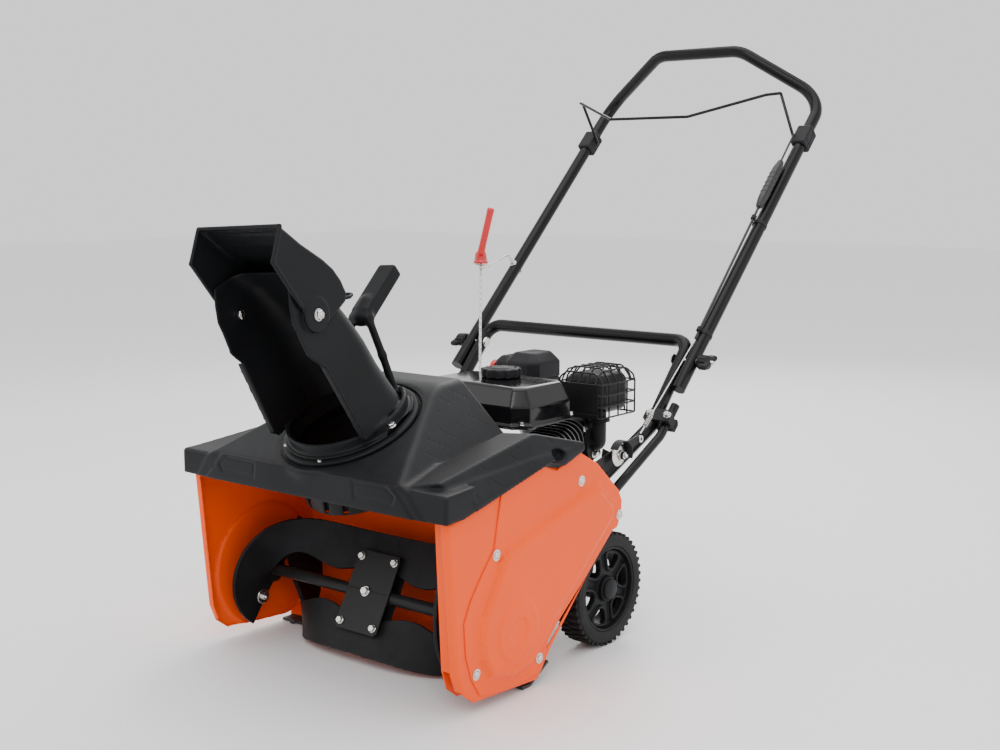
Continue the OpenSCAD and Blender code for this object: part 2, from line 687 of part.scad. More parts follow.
module chute_handle() placed() color([0.12, 0.12, 0.12]) on_chute() {
    for (s = [-1, 1]) hull() {
        translate([s * 34 - 5, 74, 7.3]) cube([10, 10, 6]);
        translate([s * 28 - 5, 88, 100]) cube([10, 12, 6]);
    }
    hull() {
        for (s = [-1, 1]) translate([s * 28 - 5, 88, 100]) cube([10, 12, 6]);
        translate([-16, 98, 128]) cube([32, 14, 10]);
    }
    hull() {
        translate([-16, 98, 124]) cube([32, 14, 14]);
        for (s = [-1, 1]) translate([s * 12, 205, 148]) rotate([90, 0, 0]) cylinder(r = 11, h = 4, $fn = 32);
    }
}

hood = [
    [-66, 371], [-40, 330], [-10, 290], [6, 264], [13, 240], [15, 214],
    [-8, 214], [-40, 212], [-78, 214], [-84, 254], [-104, 335]
];

module deflector() placed() color([0.1, 0.1, 0.1]) on_chute() difference() {
    x_plate(hood, -79, 158);
    x_plate([[-72, 380], [-48, 330], [-18, 288], [0, 262], [8.4, 240], [10.4, 200], [-150, 200], [-150, 380]],
        -75, 150);
    for (s = [-1, 1]) translate([s * 60, pivot_y, pivot_z]) rotate([0, s * 90, 0]) cylinder(d = 8.08, h = 30);
}

module deflector_bolts() placed() color("Silver") on_chute() for (s = [-1, 1])
    translate([0, pivot_y, pivot_z]) rotate([0, s * 90, 0]) {
        translate([0, 0, 62]) cylinder(d = 8, h = 24);
        translate([0, 0, 62]) cylinder(d = 18, h = 5);
        translate([0, 0, 80]) cylinder(d = 34, h = 2.5);
        translate([0, 0, 82.4]) cylinder(d = 13, h = 5);
    }

// ---------- handles ----------

leg_dir = [0, cos(leg_pitch), sin(leg_pitch)];
leg_up = [0, -sin(leg_pitch), cos(leg_pitch)];
function leg_at(s, x) = [x, fold_y, fold_z] + leg_dir * s;
fold_spot = [0, fold_y, fold_z];

module upper_handle() placed() color([0.06, 0.06, 0.06]) difference() {
    tube([
        leg_at(-64, leg_x), [leg_x, corner_y, corner_z], [bar_x, bar_y, bar_z],
        [-bar_x, bar_y, bar_z], [-leg_x, corner_y, corner_z], leg_at(-64, -leg_x)
    ], tube_d, 62, tube_wall);
    x_rod(8.08, -300, 300, fold_y, fold_z);
}

module lower_handle() placed() color([0.06, 0.06, 0.06]) difference() {
    tube([
        [inner_x, 50, 270.5], [inner_x, 217, 343], leg_at(44, inner_x),
        leg_at(44, -inner_x), [-inner_x, 217, 343], [-inner_x, 50, 270.5]
    ], tube_d, 28, tube_wall);
    x_rod(8.08, -300, 300, fold_y, fold_z);
}

module handle_stays() placed() color([0.06, 0.06, 0.06]) for (s = [-1, 1])
    tube([[s * leg_x, 66, 258], [s * leg_x, 208, 330], [s * leg_x, 256, 377]], 16, 40, tube_wall);

module tube_clips() placed() color([0.1, 0.1, 0.1]) for (s = [-1, 1]) difference() {
    translate([s > 0 ? inner_x - 14 : -leg_x - 12, 226, 344]) rotate([leg_pitch, 0, 0])
        translate([0, 0, -14]) cube([leg_x - inner_x + 26, 16, 34]);
    bar([[s * leg_x, 66, 258], [s * leg_x, 208, 330], [s * leg_x, 256, 377]], 16.5, 40, 20, 6);
    bar([[s * inner_x, 50, 270.5], [s * inner_x, 217, 343], leg_at(44, s * inner_x)], tube_d + 0.5, 28, 20, 6);
}

module handle_bolts() placed() color("Silver") for (s = [-1, 1]) translate(fold_spot)
    rotate([0, s * 90, 0]) {
        translate([0, 0, inner_x - 15]) cylinder(d = 8, h = 319 - inner_x);
        translate([0, 0, inner_x - 17.2]) cylinder(d = 20, h = 5);
    }

module knob() {
    difference() {
        union() {
            translate([0, 0, leg_x + 13]) cylinder(d = 26, h = 22);
            hull() {
                translate([-6, -20, leg_x + 24]) cylinder(r = 7, h = 16, $fn = 32);
                translate([6, 20, leg_x + 24]) cylinder(r = 7, h = 16, $fn = 32);
            }
        }
        translate([0, 0, leg_x]) cylinder(d = 8.08, h = 60);
    }
}

module knob_right() placed() color([0.08, 0.08, 0.08]) translate(fold_spot) rotate([0, 90, 0]) knob();
module knob_left() placed() color([0.08, 0.08, 0.08]) translate(fold_spot) rotate([0, -90, 0]) knob();

bail_points = [
    [bail_x + 7.5, bail_y, bail_z], [bail_x, bail_y, bail_z], [bail_x, 652, 929], [216, 624, 925],
    [89, 549, 885], [-89, 549, 885], [-216, 624, 925], [-bail_x, 652, 929],
    [-bail_x, bail_y, bail_z], [-bail_x - 7.5, bail_y, bail_z]
];

module bail() placed() color([0.06, 0.06, 0.06]) bar(bail_points, wire_d, 4);

module bail_brackets() placed() color([0.1, 0.1, 0.1]) for (s = [-1, 1]) difference() {
    translate([s * leg_x, bail_y, bail_z]) rotate([leg_pitch, 0, 0])
        translate([-15.5, -24, -15.5]) cube([31, 48, 31]);
    translate([s * leg_x, 0, 0]) bar([[0, fold_y, fold_z], [0, corner_y, corner_z]], tube_d + 0.4, 1, 20);
    x_rod(wire_d + 0.2, -300, 300, bail_y, bail_z);
}

guide_x = -236;
guide_y = 318;
guide_z = 598;

module rope_guide() placed() color("Silver") {
    bar([leg_at(198, -leg_x) + leg_up * 12.4, leg_at(198, -leg_x) + leg_up * 30,
        [-leg_x + 4, guide_y + 52, guide_z + 4], [guide_x + 2, guide_y + 17, guide_z]], 4, 8);
    translate([guide_x, guide_y, guide_z]) rotate_extrude(angle = 290, start = 305, $fn = 64)
        translate([16, 0]) circle(d = 4);
}

rope_start = [recoil_x, 108, 284.5];
rope_end = [guide_x, guide_y, guide_z - 5];

module starter_rope() placed() color([0.85, 0.85, 0.82]) bar([rope_start, rope_end], rope_d, 1);

module pull_rope() placed() color([0.85, 0.85, 0.82])
    translate([guide_x, guide_y, guide_z - 3]) cylinder(d = rope_d, h = 24);

module starter_grip() placed() color("Crimson") translate([guide_x, guide_y, guide_z + 4]) difference() {
    union() {
        cylinder(d1 = 26, d2 = 20, h = 22);
        translate([0, 0, 21]) difference() {
            translate([-8, -12, 0]) cube([16, 24, 92]);
            translate([-9, -7, 14]) cube([18, 14, 66]);
        }
    }
    translate([0, 0, -1]) cylinder(d = rope_d + 0.6, h = 18);
}

cable_x = leg_x - 6;
cable_top = leg_at(540, cable_x) + leg_up * 26;
sleeve_top = leg_at(476, cable_x) + leg_up * 24;
sleeve_low = leg_at(356, cable_x) + leg_up * 22;
cable_low = leg_at(40, cable_x) + leg_up * 14;

module clutch_cable_upper() placed() color([0.08, 0.08, 0.08]) {
    bar([cable_top, sleeve_top - leg_dir * 6], cable_d, 1);
    bar([sleeve_top, sleeve_low], 18, 1);
    bar([sleeve_low + leg_dir * 6, cable_low], cable_d, 1);
}

module clutch_cable_lower() placed() color([0.6, 0.6, 0.6])
    bar([cable_low - leg_dir * 6, [248.5, lever_y + 72, lever_z + 24]], cable_d, 1);

// ---------- output ----------

left_side_plate();
right_side_plate();
inner_wall();
housing_shell();
top_cover();
belt_cover();
scraper_bar();
engine_deck();
wheel_axle();
lower_handle();
handle_stays();
tube_clips();
handle_bolts();
crankcase();
fan_housing();
recoil_housing();
cylinder_block();
head_cover();
fuel_tank();
air_filter_box();
carburettor();
muffler();
muffler_guard();
exhaust_pipe();
rotor_bearings();
drive_belt();
starter_rope();
clutch_cable_lower();
cover_screws();
chute_ring();
rotor_shaft();
paddle_a();
paddle_b();
centre_plates();
end_brackets();
rotor_bolts();
rotor_pulley();
crankshaft();
flywheel();
engine_pulley();
clutch_lever();
idler_pulley();
wheel_left();
wheel_right();
chute();
chute_handle();
deflector();
deflector_bolts();
upper_handle();
bail();
bail_brackets();
rope_guide();
clutch_cable_upper();
knob_left();
knob_right();
starter_grip();
pull_rope();
recoil_pulley();
fuel_cap();
choke_knob();
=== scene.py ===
import bpy, bmesh, json, math, random
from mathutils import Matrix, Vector


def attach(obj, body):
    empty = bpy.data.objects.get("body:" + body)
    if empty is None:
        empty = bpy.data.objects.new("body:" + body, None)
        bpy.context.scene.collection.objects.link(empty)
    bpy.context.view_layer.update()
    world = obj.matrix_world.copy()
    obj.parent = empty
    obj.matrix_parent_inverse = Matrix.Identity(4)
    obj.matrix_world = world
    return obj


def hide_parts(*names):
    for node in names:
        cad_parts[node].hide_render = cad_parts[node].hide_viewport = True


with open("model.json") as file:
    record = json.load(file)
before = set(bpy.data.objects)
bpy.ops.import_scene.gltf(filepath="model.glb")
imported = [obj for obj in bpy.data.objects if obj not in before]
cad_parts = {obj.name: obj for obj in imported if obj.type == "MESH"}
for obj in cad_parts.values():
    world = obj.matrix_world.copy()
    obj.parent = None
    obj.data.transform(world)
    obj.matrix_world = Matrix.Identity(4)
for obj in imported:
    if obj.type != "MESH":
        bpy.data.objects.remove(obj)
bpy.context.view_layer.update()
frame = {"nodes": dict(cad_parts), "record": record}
NODES = frame["nodes"]
MID_Y = 131.9          # the layout's Y = 0 sits this far in front of the row's origin, mm
random.seed(7)


def P(x, y, z):
    """Layout millimetres to row metres."""
    return Vector((x / 1000, (y - MID_Y) / 1000, z / 1000))


# ---------------------------------------------------------------- materials

def shader(name):
    m = bpy.data.materials.new(name)
    m.use_nodes = True
    return m, m.node_tree, m.node_tree.nodes["Principled BSDF"]


def material(name, color, rough, metal=0.0, vary=0.12, vary_scale=6.0, rough_vary=0.12,
             grain=None, grain_depth=0.15, dust=0.0, dust_color=(0.5, 0.48, 0.45),
             edge=None, coat=0.0, coat_rough=0.1, spec=0.5, stretch=(1, 1, 1)):
    """A colour that drifts slowly, a roughness that drifts with it, and up to two sizes of grain."""
    m, t, b = shader(name)
    n, l = t.nodes, t.links
    co = n.new("ShaderNodeTexCoord")
    mp = n.new("ShaderNodeMapping")
    mp.inputs["Scale"].default_value = stretch
    l.new(co.outputs["Object"], mp.inputs["Vector"])
    big = n.new("ShaderNodeTexNoise")
    big.inputs["Scale"].default_value = vary_scale
    big.inputs["Detail"].default_value = 5
    l.new(mp.outputs["Vector"], big.inputs["Vector"])
    ramp = n.new("ShaderNodeValToRGB")
    lo = [max(0, c * (1 - vary)) for c in color]
    hi = [min(1, c * (1 + vary)) for c in color]
    ramp.color_ramp.elements[0].position, ramp.color_ramp.elements[1].position = 0.3, 0.7
    ramp.color_ramp.elements[0].color = (*lo, 1)
    ramp.color_ramp.elements[1].color = (*hi, 1)
    l.new(big.outputs["Fac"], ramp.inputs["Fac"])
    out = ramp.outputs["Color"]
    if dust:
        geo = n.new("ShaderNodeNewGeometry")
        sep = n.new("ShaderNodeSeparateXYZ")
        l.new(geo.outputs["Normal"], sep.inputs["Vector"])
        fine = n.new("ShaderNodeTexNoise")
        fine.inputs["Scale"].default_value = 60
        fine.inputs["Detail"].default_value = 6
        l.new(co.outputs["Object"], fine.inputs["Vector"])
        mul = n.new("ShaderNodeMath")
        mul.operation = "MULTIPLY"
        mul.use_clamp = True
        l.new(sep.outputs["Z"], mul.inputs[0])
        l.new(fine.outputs["Fac"], mul.inputs[1])
        amt = n.new("ShaderNodeMath")
        amt.operation = "MULTIPLY"
        amt.use_clamp = True
        l.new(mul.outputs[0], amt.inputs[0])
        amt.inputs[1].default_value = dust
        mix = n.new("ShaderNodeMix")
        mix.data_type = "RGBA"
        l.new(amt.outputs[0], mix.inputs["Factor"])
        l.new(out, mix.inputs["A"])
        mix.inputs["B"].default_value = (*dust_color, 1)
        out = mix.outputs["Result"]
    if edge:
        geo2 = n.new("ShaderNodeNewGeometry")
        er = n.new("ShaderNodeValToRGB")
        er.color_ramp.elements[0].position, er.color_ramp.elements[1].position = 0.53, 0.62
        l.new(geo2.outputs["Pointiness"], er.inputs["Fac"])
        mix2 = n.new("ShaderNodeMix")
        mix2.data_type = "RGBA"
        l.new(er.outputs["Color"], mix2.inputs["Factor"])
        l.new(out, mix2.inputs["A"])
        mix2.inputs["B"].default_value = (*edge, 1)
        out = mix2.outputs["Result"]
    l.new(out, b.inputs["Base Color"])
    rr = n.new("ShaderNodeMapRange")
    rr.inputs["To Min"].default_value = max(0.02, rough - rough_vary)
    rr.inputs["To Max"].default_value = min(1, rough + rough_vary)
    l.new(big.outputs["Fac"], rr.inputs["Value"])
    l.new(rr.outputs["Result"], b.inputs["Roughness"])
    b.inputs["Metallic"].default_value = metal
    b.inputs["Specular IOR Level"].default_value = spec
    if coat:
        b.inputs["Coat Weight"].default_value = coat
        b.inputs["Coat Roughness"].default_value = coat_rough
    normal = None
    for scale, strength in grain or ():
        tex = n.new("ShaderNodeTexNoise")
        tex.inputs["Scale"].default_value = scale
        tex.inputs["Detail"].default_value = 4
        l.new(mp.outputs["Vector"], tex.inputs["Vector"])
        bump = n.new("ShaderNodeBump")
        bump.inputs["Strength"].default_value = strength
        bump.inputs["Distance"].default_value = grain_depth / 1000
        l.new(tex.outputs["Fac"], bump.inputs["Height"])
        if normal:
            l.new(normal, bump.inputs["Normal"])
        normal = bump.outputs["Normal"]
    if normal:
        l.new(normal, b.inputs["Normal"])
    return m


def braid(name, color, pitch=0.006):
    """Rope lay: two sets of strands crossing round the rope."""
    m, t, b = shader(name)
    n, l = t.nodes, t.links
    co = n.new("ShaderNodeTexCoord")
    waves = []
    for s in (1, -1):
        mp = n.new("ShaderNodeMapping")
        mp.inputs["Rotation"].default_value = (0, s * 0.6, s * 0.8)
        l.new(co.outputs["Object"], mp.inputs["Vector"])
        w = n.new("ShaderNodeTexWave")
        w.inputs["Scale"].default_value = 1 / pitch / 3
        w.inputs["Distortion"].default_value = 0.6
        w.bands_direction = "Z"
        l.new(mp.outputs["Vector"], w.inputs["Vector"])
        waves.append(w)
    mul = n.new("ShaderNodeMath")
    mul.operation = "MULTIPLY"
    l.new(waves[0].outputs["Fac"], mul.inputs[0])
    l.new(waves[1].outputs["Fac"], mul.inputs[1])
    ramp = n.new("ShaderNodeValToRGB")
    ramp.color_ramp.elements[0].color = (*[c * 0.55 for c in color], 1)
    ramp.color_ramp.elements[1].color = (*color, 1)
    ramp.color_ramp.elements[1].position = 0.5
    l.new(mul.outputs[0], ramp.inputs["Fac"])
    l.new(ramp.outputs["Color"], b.inputs["Base Color"])
    bump = n.new("ShaderNodeBump")
    bump.inputs["Strength"].default_value = 0.6
    bump.inputs["Distance"].default_value = 0.0006
    l.new(mul.outputs[0], bump.inputs["Height"])
    l.new(bump.outputs["Normal"], b.inputs["Normal"])
    b.inputs["Roughness"].default_value = 0.85
    return m


MAT = {
    "orange": material("orange_paint", (0.95, 0.085, 0.003), 0.36, vary=0.05, vary_scale=4, rough_vary=0.05,
                       grain=[(420, 0.05), (90, 0.04)], spec=0.16),
    "cover": material("cover_plastic", (0.011, 0.0115, 0.013), 0.42, vary=0.22, vary_scale=9, rough_vary=0.07,
                      grain=[(1500, 0.28), (260, 0.06)], dust=0.02, spec=0.12),
    "chute": material("chute_plastic", (0.008, 0.0085, 0.0095), 0.38, vary=0.2, vary_scale=8, rough_vary=0.08,
                      grain=[(1600, 0.22), (200, 0.06)], dust=0.01, spec=0.12),
    "tube": material("tube_enamel", (0.005, 0.005, 0.0055), 0.24, vary=0.15, vary_scale=14, rough_vary=0.06,
                     grain=[(300, 0.05)], spec=0.2),
    "steel_black": material("black_steel", (0.014, 0.014, 0.015), 0.38, vary=0.25, vary_scale=16,
                            grain=[(500, 0.1)], dust=0.02, spec=0.18),
    "tank": material("tank_gloss", (0.006, 0.006, 0.007), 0.1, vary=0.2, vary_scale=10, rough_vary=0.04,
                     grain=[(60, 0.05)], coat=0.35, coat_rough=0.05, spec=0.2),
    "matte": material("engine_matte", (0.016, 0.016, 0.018), 0.48, vary=0.25, vary_scale=20,
                      grain=[(1300, 0.3)], dust=0.02, spec=0.14),
    "alloy": material("cast_alloy", (0.42, 0.42, 0.43), 0.5, metal=0.85, vary=0.18, vary_scale=30,
                      grain=[(900, 0.5), (240, 0.2)], grain_depth=0.3),
    "alloy_dark": material("cast_alloy_dark", (0.12, 0.12, 0.125), 0.5, metal=0.6, vary=0.25, vary_scale=30,
                           grain=[(900, 0.5), (240, 0.2)], grain_depth=0.3),
    "zinc": material("zinc_plate", (0.68, 0.67, 0.64), 0.26, metal=1.0, vary=0.12, vary_scale=70,
                     grain=[(700, 0.08)], rough_vary=0.1),
    "dark_steel": material("turned_steel", (0.2, 0.2, 0.21), 0.34, metal=1.0, vary=0.2, vary_scale=60,
                           grain=[(600, 0.1)]),
    "rubber": material("paddle_rubber", (0.010, 0.0105, 0.012), 0.5, vary=0.35, vary_scale=22,
            rough_vary=0.15,
                       grain=[(420, 0.3), (80, 0.25)], grain_depth=0.4, dust=0.05, spec=0.12),
    "tyre": material("tyre_rubber", (0.016, 0.016, 0.016), 0.6, vary=0.3, vary_scale=40, rough_vary=0.12,
                     grain=[(800, 0.35)], dust=0.04, spec=0.14),
    "belt": material("belt_rubber", (0.012, 0.012, 0.012), 0.7, vary=0.3, vary_scale=60, grain=[(900, 0.4)]),
    "red": material("red_plastic", (0.62, 0.012, 0.012), 0.28, vary=0.08, vary_scale=20, grain=[(500, 0.06)],
                    coat=0.3),
    "sheath": material("cable_sheath", (0.012, 0.012, 0.013), 0.35, vary=0.2, vary_scale=40,
            grain=[(400, 0.1)]),
    "worn": material("worn_steel", (0.03, 0.03, 0.031), 0.45, metal=0.4, vary=0.4, vary_scale=30,
                     grain=[(350, 0.25)], dust=0.1),
    "throat": material("throat_black", (0.004, 0.004, 0.004), 0.6, vary=0.2, grain=[(900, 0.3)], spec=0.1),
    "rope": braid("starter_cord", (0.82, 0.82, 0.8)),
}

SLOT_OF = {
    "orange_paint": "orange", "cover_plastic": "cover", "black_tube": "tube", "black_steel": "steel_black",
    "engine_plastic": "tank", "engine_matte": "matte", "cast_alloy": "alloy", "zinc": "zinc",
    "dark_steel": "dark_steel", "chute_plastic": "chute", "paddle_rubber": "rubber", "wheel_rubber": "tyre",
    "belt_rubber": "belt", "red_plastic": "red", "rope": "rope", "cable_sheath": "sheath",
            "wear_steel": "worn",
}
for sub in frame["record"]["subparts"]:
    o = NODES[sub["node"]]
    o.data.materials.clear()
    o.data.materials.append(MAT[SLOT_OF[sub["material_slot"]]])
for n in ("cylinder_block", "crankcase"):
    NODES[n].data.materials[0] = MAT["alloy_dark"]

# ---------------------------------------------------------------- mesh tools (all in layout millimetres)

import numpy as np

A = np.array


def link(name, mesh, mat, body, replaces=()):
    o = bpy.data.objects.new(name, mesh)
    bpy.context.scene.collection.objects.link(o)
    mesh.materials.append(MAT[mat])
    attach(o, body)
    if replaces:
        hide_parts(*replaces)
    return o


def make(name, verts, faces, mat, body, replaces=(), slot=None, angle=40, bevel=0, seg=2, clean=True):
    """An object from vertices in layout millimetres, smooth except along edges sharper than angle."""
    me = bpy.data.meshes.new(name)
    me.from_pydata([P(*v) for v in verts], [], [list(f) for f in faces])
    if clean:
        b = bmesh.new()
        b.from_mesh(me)
        bmesh.ops.remove_doubles(b, verts=b.verts, dist=1e-5)
        bmesh.ops.recalc_face_normals(b, faces=b.faces)
        b.to_mesh(me)
        b.free()
    me.shade_smooth()
    if not bevel:
        me.set_sharp_from_angle(angle=math.radians(angle))
    o = link(name, me, mat, body, replaces)
    if bevel:
        m = o.modifiers.new("bevel", "BEVEL")
        m.width, m.segments, m.limit_method, m.angle_limit = bevel / 1000, seg, "ANGLE", math.radians(angle)
        m.harden_normals = True
    return o


class Soup:
    """Collects simple solids, then becomes one object."""

    def __init__(self):
        self.v, self.f = [], []

    def add(self, verts, faces):
        n = len(self.v)
        self.v += [tuple(map(float, v)) for v in verts]
        self.f += [[i + n for i in f] for f in faces]
        return self

    def lathe(self, profile, centre, axis=(1, 0, 0), seg=48, close=True):
        """profile: (radius, along) pairs round a closed section, turned about axis through centre."""
        a = A(axis, float)
        a /= np.linalg.norm(a)
        u = np.cross(a, (0, 0, 1) if abs(a[2]) < 0.9 else (1, 0, 0))
        u /= np.linalg.norm(u)
        w = np.cross(a, u)
        c = A(centre, float)
        k = len(profile)
        vs = [c + a * h + (u * math.cos(t) + w * math.sin(t)) * r
              for t in [2 * math.pi * i / seg for i in range(seg)] for r, h in profile]
        fs = [[i * k + j, ((i + 1) % seg) * k + j, ((i + 1) % seg) * k + (j + 1) % k, i * k + (j + 1) % k]
              for i in range(seg) for j in range(k if close else k - 1)]
        return self.add(vs, fs)

    def prism(self, pts, centre, u, v, a, b):
        """A flat outline pts along u and v, from a to b along u x v."""
        c, u, v = A(centre, float), A(u, float), A(v, float)
        n = np.cross(u, v)
        k = len(pts)
        vs = [c + u * p[0] + v * p[1] + n * h for h in (a, b) for p in pts]
        fs = [list(range(k))[::-1], list(range(k, 2 * k))] + [
            [i, (i + 1) % k, k + (i + 1) % k, k + i] for i in range(k)]
        return self.add(vs, fs)

    def hexbolt(self, centre, axis, across, height, washer=0, seg=32):
        """A hexagon head with a chamfered top and, if asked, a washer under it."""
        a = A(axis, float)
        a /= np.linalg.norm(a)
        u = np.cross(a, (0, 0, 1) if abs(a[2]) < 0.9 else (1, 0, 0))
        u /= np.linalg.norm(u)
        w = np.cross(a, u)
        c = A(centre, float)
        if washer:
            self.lathe([(0.1, 0), (washer, 0), (washer, 1.0), (washer - 0.6, 1.5), (0.1, 1.5)], c, a, seg)
            c = c + a * 1.5
        r = across / math.sqrt(3)
        ring = lambda rr, h: [c + a * h + (u * math.cos(t) + w * math.sin(t)) * rr
                              for t in [math.pi / 3 * i + 0.3 for i in range(6)]]
        vs = ring(r, 0) + ring(r, height * 0.78) + ring(r * 0.84, height)
        fs = [[i, (i + 1) % 6, 6 + (i + 1) % 6, 6 + i] for i in range(6)]
        fs += [[6 + i, 6 + (i + 1) % 6, 12 + (i + 1) % 6, 12 + i] for i in range(6)]
        return self.add(vs, fs + [list(range(6))[::-1], list(range(12, 18))])

    def tube(self, pts, d, seg=16, fillet=0, steps=8, caps=True):
        """A round rod along a line of points, its corners bent to the given radius."""
        path = bend(pts, fillet, steps) if fillet else [A(p, float) for p in pts]
        t = [path[1] - path[0]] + [path[i + 1] - path[i - 1] for i in range(1,
                len(path) - 1)] + [path[-1] - path[-2]]
        t = [x / np.linalg.norm(x) for x in t]
        n = np.cross(t[0], (0, 0, 1) if abs(t[0][2]) < 0.9 else (1, 0, 0))
        n /= np.linalg.norm(n)
        vs, k = [], seg
        for p, d0 in zip(path, t):
            n = n - d0 * np.dot(n, d0)
            n /= np.linalg.norm(n)
            m = np.cross(d0, n)
            vs += [p + (n * math.cos(2 * math.pi * i / k) + m * math.sin(2 * math.pi * i / k)) * d / 2
                   for i in range(k)]
        fs = [[j * k + i, j * k + (i + 1) % k, (j + 1) * k + (i + 1) % k, (j + 1) * k + i]
              for j in range(len(path) - 1) for i in range(k)]
        if caps:
            fs += [list(range(k))[::-1], list(range((len(path) - 1) * k, len(path) * k))]
        return self.add(vs, fs)

    def done(self, name, mat, body, **kw):
        return make(name, self.v, self.f, mat, body, **kw)


def bend(pts, r, steps=8):
    """The points with every inner corner replaced by an arc."""
    pts = [A(p, float) for p in pts]
    out = [pts[0]]
    for a, b, c in zip(pts, pts[1:], pts[2:]):
        u, v = (a - b) / np.linalg.norm(a - b), (c - b) / np.linalg.norm(c - b)
        ang = math.acos(np.clip(np.dot(u, v), -1, 1))
        cut = min(r / math.tan(ang / 2), 0.48 * np.linalg.norm(a - b), 0.48 * np.linalg.norm(c - b))
        rr = cut * math.tan(ang / 2)
        mid = (u + v) / np.linalg.norm(u + v) * rr / math.sin(ang / 2)
        o = b + mid
        p, q = b + u * cut - o, b + v * cut - o
        sweep = math.pi - ang
        for i in range(steps + 1):
            f = i / steps
            out.append(o + (p * math.sin((1 - f) * sweep) + q * math.sin(f * sweep)) / math.sin(sweep))
    return out + [pts[-1]]


# ---------------------------------------------------------------- moulded shapes from distance fields

class Field:
    """A grid of points on which distances are combined; zero is the surface, negative is inside."""

    def __init__(self, lo, hi, step):
        self.lo, self.step = A(lo, float), step
        self.n = [int(math.ceil((b - a) / step)) + 1 for a, b in zip(lo, hi)]
        ax = [np.float32(a + step * np.arange(k)) for a, k in zip(lo, self.n)]
        self.x, self.y, self.z = (ax[0][:, None, None], ax[1][None, :, None], ax[2][None, None, :])

    def mesh(self, d):
        """Surface nets: one vertex for each cell that the surface crosses."""
        d = np.broadcast_to(d, self.n).astype(np.float32)
        s = d < 0
        c = [(i, j, k) for i in (0, 1) for j in (0, 1) for k in (0, 1)]
        sub = lambda a, o: a[o[0]:a.shape[0] - 1 + o[0], o[1]:a.shape[1] - 1 + o[1],
                o[2]:a.shape[2] - 1 + o[2]]
        tot = sum(sub(s, o).astype(np.int8) for o in c)
        cells = np.argwhere((tot > 0) & (tot < 8))
        acc = np.zeros((len(cells), 3))
        cnt = np.zeros(len(cells))
        val = {o: d[cells[:, 0] + o[0], cells[:, 1] + o[1], cells[:, 2] + o[2]] for o in c}
        for a in c:
            for ax in range(3):
                if a[ax]:
                    continue
                b = tuple(a[i] + (i == ax) for i in range(3))
                hit = (val[a] < 0) != (val[b] < 0)
                t = val[a][hit] / (val[a][hit] - val[b][hit])
                p = np.tile(A(a, float), (hit.sum(), 1))
                p[:, ax] += t
                acc[hit] += p
                cnt[hit] += 1
        pos = self.lo + (cells + acc / cnt[:, None]) * self.step
        idx = -np.ones([k - 1 for k in self.n], np.int64)
        idx[tuple(cells.T)] = np.arange(len(cells))
        quads = []
        for ax in range(3):
            o1, o2 = (ax + 1) % 3, (ax + 2) % 3
            a = s[tuple(slice(0, -1) if i == ax else slice(None) for i in range(3))]
            b = s[tuple(slice(1, None) if i == ax else slice(None) for i in range(3))]
            e = np.argwhere(a != b)
            e = e[(e[:, o1] > 0) & (e[:, o2] > 0) & (e[:, o1] < self.n[o1] - 1) & (e[:, o2] < self.n[o2] - 1)]
            inside = a[tuple(e.T)]
            at = lambda p, q: idx[tuple((e - p * np.eye(3, dtype=int)[o1] - q * np.eye(3, dtype=int)[o2]).T)]
            quad = np.stack([at(1, 1), at(0, 1), at(0, 0), at(1, 0)], 1)
            quad[~inside] = quad[~inside][:, ::-1]
            quads.append(quad)
        return pos, np.concatenate(quads)

    def done(self, d, name, mat, body, replaces=(), slot=None, smooth=2, place=None, crisp=None, ratio=None):
        v, f = self.mesh(d)
        if place is not None:
            v = place(v)
        me = bpy.data.meshes.new(name)
        v = (v - A((0, MID_Y, 0))) / 1000
        me.vertices.add(len(v))
        me.vertices.foreach_set("co", v.astype(np.float32).ravel())
        me.loops.add(f.size)
        me.loops.foreach_set("vertex_index", f.astype(np.int32).ravel())
        me.polygons.add(len(f))
        me.polygons.foreach_set("loop_start", np.arange(0, f.size, 4, dtype=np.int32))
        me.update()
        me.validate()
        me.shade_smooth()
        if crisp:
            me.set_sharp_from_angle(angle=math.radians(crisp))
        o = link(name, me, mat, body, replaces)
        if smooth:
            m = o.modifiers.new("smooth", "SMOOTH")
            m.factor, m.iterations = 0.5, smooth
        if ratio:
            m = o.modifiers.new("thin", "DECIMATE")
            m.ratio = ratio
        return o


def smin(a, b, k):
    h = np.clip(0.5 + 0.5 * (b - a) / k, 0, 1)
    return b + (a - b) * h - k * h * (1 - h)


def smax(a, b, k):
    return -smin(-a, -b, k)


def poly2(px, py, pts):
    """Distance to a closed outline in a plane, negative inside."""
    shape = np.broadcast_shapes(px.shape, py.shape)
    d = np.full(shape, 1e9, np.float32)
    s = np.ones(shape, np.float32)
    n = len(pts)
    for i in range(n):
        (ax, ay), (bx, by) = pts[i], pts[i - 1]
        ex, ey, wx, wy = bx - ax, by - ay, px - ax, py - ay
        t = np.clip((wx * ex + wy * ey) / (ex * ex + ey * ey), 0, 1)
        d = np.minimum(d, (wx - ex * t) ** 2 + (wy - ey * t) ** 2)
        c1, c2, c3 = py >= ay, py < by, ex * wy > ey * wx
        flip = (c1 & c2 & c3) | (~c1 & ~c2 & ~c3)
        s = np.where(flip, -s, s)
    return s * np.sqrt(d)


def extrude(d2, w, lo, hi, r=0):
    """A plane distance extruded between lo and hi along w, with edges rounded by about r."""
    e = np.maximum(lo - w, w - hi)
    if not r:
        return np.maximum(d2, e)
    return np.hypot(np.maximum(d2 + r, 0), np.maximum(e + r, 0)) + np.minimum(np.maximum(d2 + r, e + r),
            0) - r


def rbox(x, y, z, lo, hi, r):
    q = [np.abs(c - (a + b) / 2) - (b - a) / 2 + r for c, a, b in zip((x, y, z), lo, hi)]
    out = np.sqrt(sum(np.maximum(c, 0) ** 2 for c in q))
    return out + np.minimum(np.maximum(np.maximum(q[0], q[1]), q[2]), 0) - r


